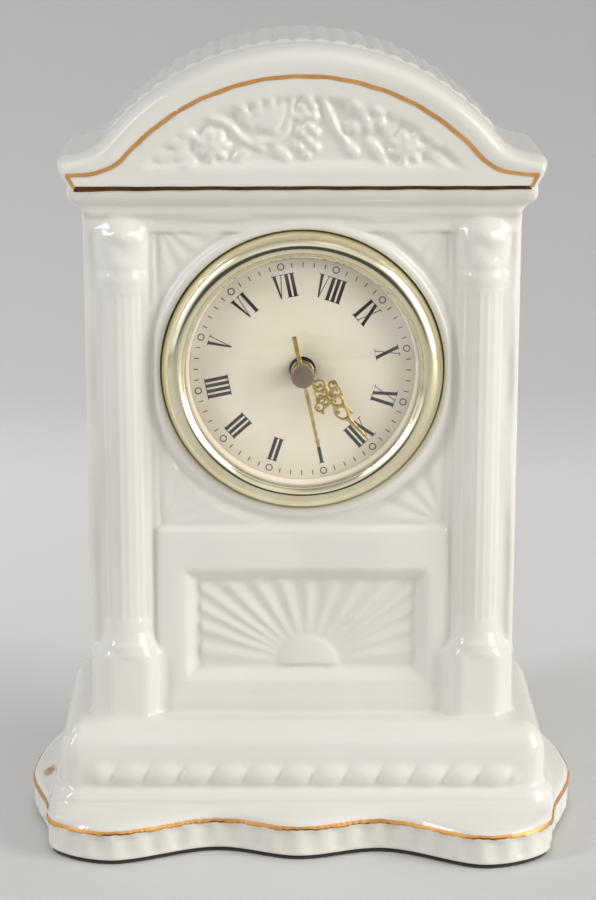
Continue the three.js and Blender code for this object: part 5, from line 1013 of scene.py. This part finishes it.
# Floor and backdrop: one sheet of pale grey paper that sweeps up behind the clock.
PAPER_FRONT_Y, BEND_Y, BEND_R, PAPER_TOP_Z, PAPER_HALF_X = -1.2, 0.5, 0.5, 2.2, 2.0
bends = np.linspace(0.1, math.pi / 2, 16)
sweep = [(PAPER_FRONT_Y, 0.0), (BEND_Y, 0.0)]
sweep += [(BEND_Y + BEND_R * math.sin(a), BEND_R - BEND_R * math.cos(a)) for a in bends]
sweep += [(BEND_Y + BEND_R, PAPER_TOP_Z)]
paper_mesh = bpy.data.meshes.new("paper")
paper_mesh.from_pydata(
    [(px, py, pz) for py, pz in sweep for px in (-PAPER_HALF_X, PAPER_HALF_X)],
    [],
    [(2 * i, 2 * i + 1, 2 * i + 3, 2 * i + 2) for i in range(len(sweep) - 1)],
)
paper_mesh.polygons.foreach_set("use_smooth", [True] * len(paper_mesh.polygons))
paper = bpy.data.objects.new("paper", paper_mesh)
bpy.context.scene.collection.objects.link(paper)
# Uncoated paper: matt, with a fine tooth. Its grey carries painted light and shade: palest round the clock, then
# painted darker up the sweep.
paper_painted_shade, tree, body = material("grey_paper_painted_shade", Roughness=0.75)
where = add(tree, "TexCoord").outputs["Object"]
place = add(tree, "SeparateXYZ", {0: where})
depth = add(tree, "MapRange", {"Value": place.outputs["Y"], "From Min": -0.2, "From Max": 1.0})
# Painted shade: the ramp darkens the grey up the sweep and leaves it palest round the clock.
fade = add(tree, "ValToRGB", {"Fac": depth.outputs[0]})
for spot, code in ((0.12, "#dcdbd8"), (0.28, "#e8e7e5"), (0.45, "#ececec"), (0.62, "#dcdcdc"), (0.9, "#bebebe")):
    fade.color_ramp.elements.new(spot).color = linear(code)
fade.color_ramp.elements.remove(fade.color_ramp.elements[0])
fade.color_ramp.elements.remove(fade.color_ramp.elements[-1])
fibre = add(tree, "TexNoise", {"Vector": where, "Scale": 1000 / 2.5, "Detail": 4.0})
tooth = add(tree, "Bump", {"Height": fibre.outputs["Fac"], "Strength": 0.1, "Distance": 0.0002})
tree.links.new(fade.outputs["Color"], body["Base Color"])
tree.links.new(tooth.outputs[0], body["Normal"])
# From behind the sheet, a view of the clock's back looks straight through it.
behind = add(tree, "NewGeometry").outputs["Backfacing"]
tree.links.new(add(tree, "Math", {0: 1.0, 1: behind}, operation="SUBTRACT").outputs[0], body["Alpha"])
paper_mesh.materials.append(paper_painted_shade)

# Light: a big soft box on the right, a tall strip on the left, a faint one above, one on the paper behind,
# and a room that is brightest low and towards the camera.


def softbox(name, place, target, wide, tall, watts, colour):
    lamp = bpy.data.lights.new(name, "AREA")
    lamp.shape = "RECTANGLE"
    lamp.size, lamp.size_y = wide, tall
    lamp.energy = watts
    lamp.color = linear(colour)[:3]
    holder = bpy.data.objects.new(name, lamp)
    holder.location = place
    holder.rotation_euler = (Vector(target) - Vector(place)).to_track_quat("-Z", "Y").to_euler()
    bpy.context.scene.collection.objects.link(holder)


softbox("key", (0.85, -0.38, 0.42), (0, 0, 0.1), 0.45, 0.75, 5.4, "#fffdfa")
softbox("top", (0.25, -0.45, 1.0), (0, 0, 0.12), 0.35, 0.35, 0.12, "#ffffff")
softbox("left", (-0.7, -0.38, 0.58), (0, 0, 0.14), 0.09, 0.6, 2.2, "#f4f7ff")
softbox("backdrop", (-0.55, 0.2, 0.55), (-0.2, 0.95, 0.25), 0.3, 0.3, 1.4, "#ffffff")
world = bpy.data.worlds.new("room")
world.use_nodes = True
tree = world.node_tree
tree.nodes.clear()
toward = add(tree, "TexCoord").outputs["Generated"]
lean = add(tree, "VectorMath", {0: toward, 1: (0.10, -0.43, -0.52)}, operation="DOT_PRODUCT")
power = add(tree, "Math", {0: lean.outputs["Value"], 1: 0.785}, operation="ADD").outputs[0]
axes = add(tree, "SeparateXYZ", {0: toward})
# The dark end of the room behind the camera, as wide as it looks from the clock, which bright gold mirrors.
shade = 1.0
for axis, edges in (
    ("X", (-0.7, -0.45, 0.45, 0.7)),
    ("Z", (-0.4, -0.2, 0.36, 0.5)),
    ("Y", (-2.0, -1.9, -0.4, -0.2)),
):
    for begin, end in (edges[:2], edges[3:1:-1]):
        side = add(
            tree,
            "MapRange",
            {"Value": axes.outputs[axis], "From Min": begin, "From Max": end, "To Min": 0.0, "To Max": 1.0},
            interpolation_type="SMOOTHSTEP",
        )
        shade = add(tree, "Math", {0: side.outputs[0], 1: shade}, operation="MULTIPLY").outputs[0]
shade = add(tree, "MapRange", {"Value": shade, "To Min": 1.0, "To Max": 0.05})
power = add(tree, "Math", {0: power, 1: shade.outputs[0]}, operation="MULTIPLY")
room = add(tree, "Background", {"Color": linear("#fbfbfb"), "Strength": power.outputs[0]})
add(tree, "OutputWorld", {"Surface": room.outputs[0]})
bpy.context.scene.world = world
bpy.context.scene.view_settings.view_transform = "Standard"
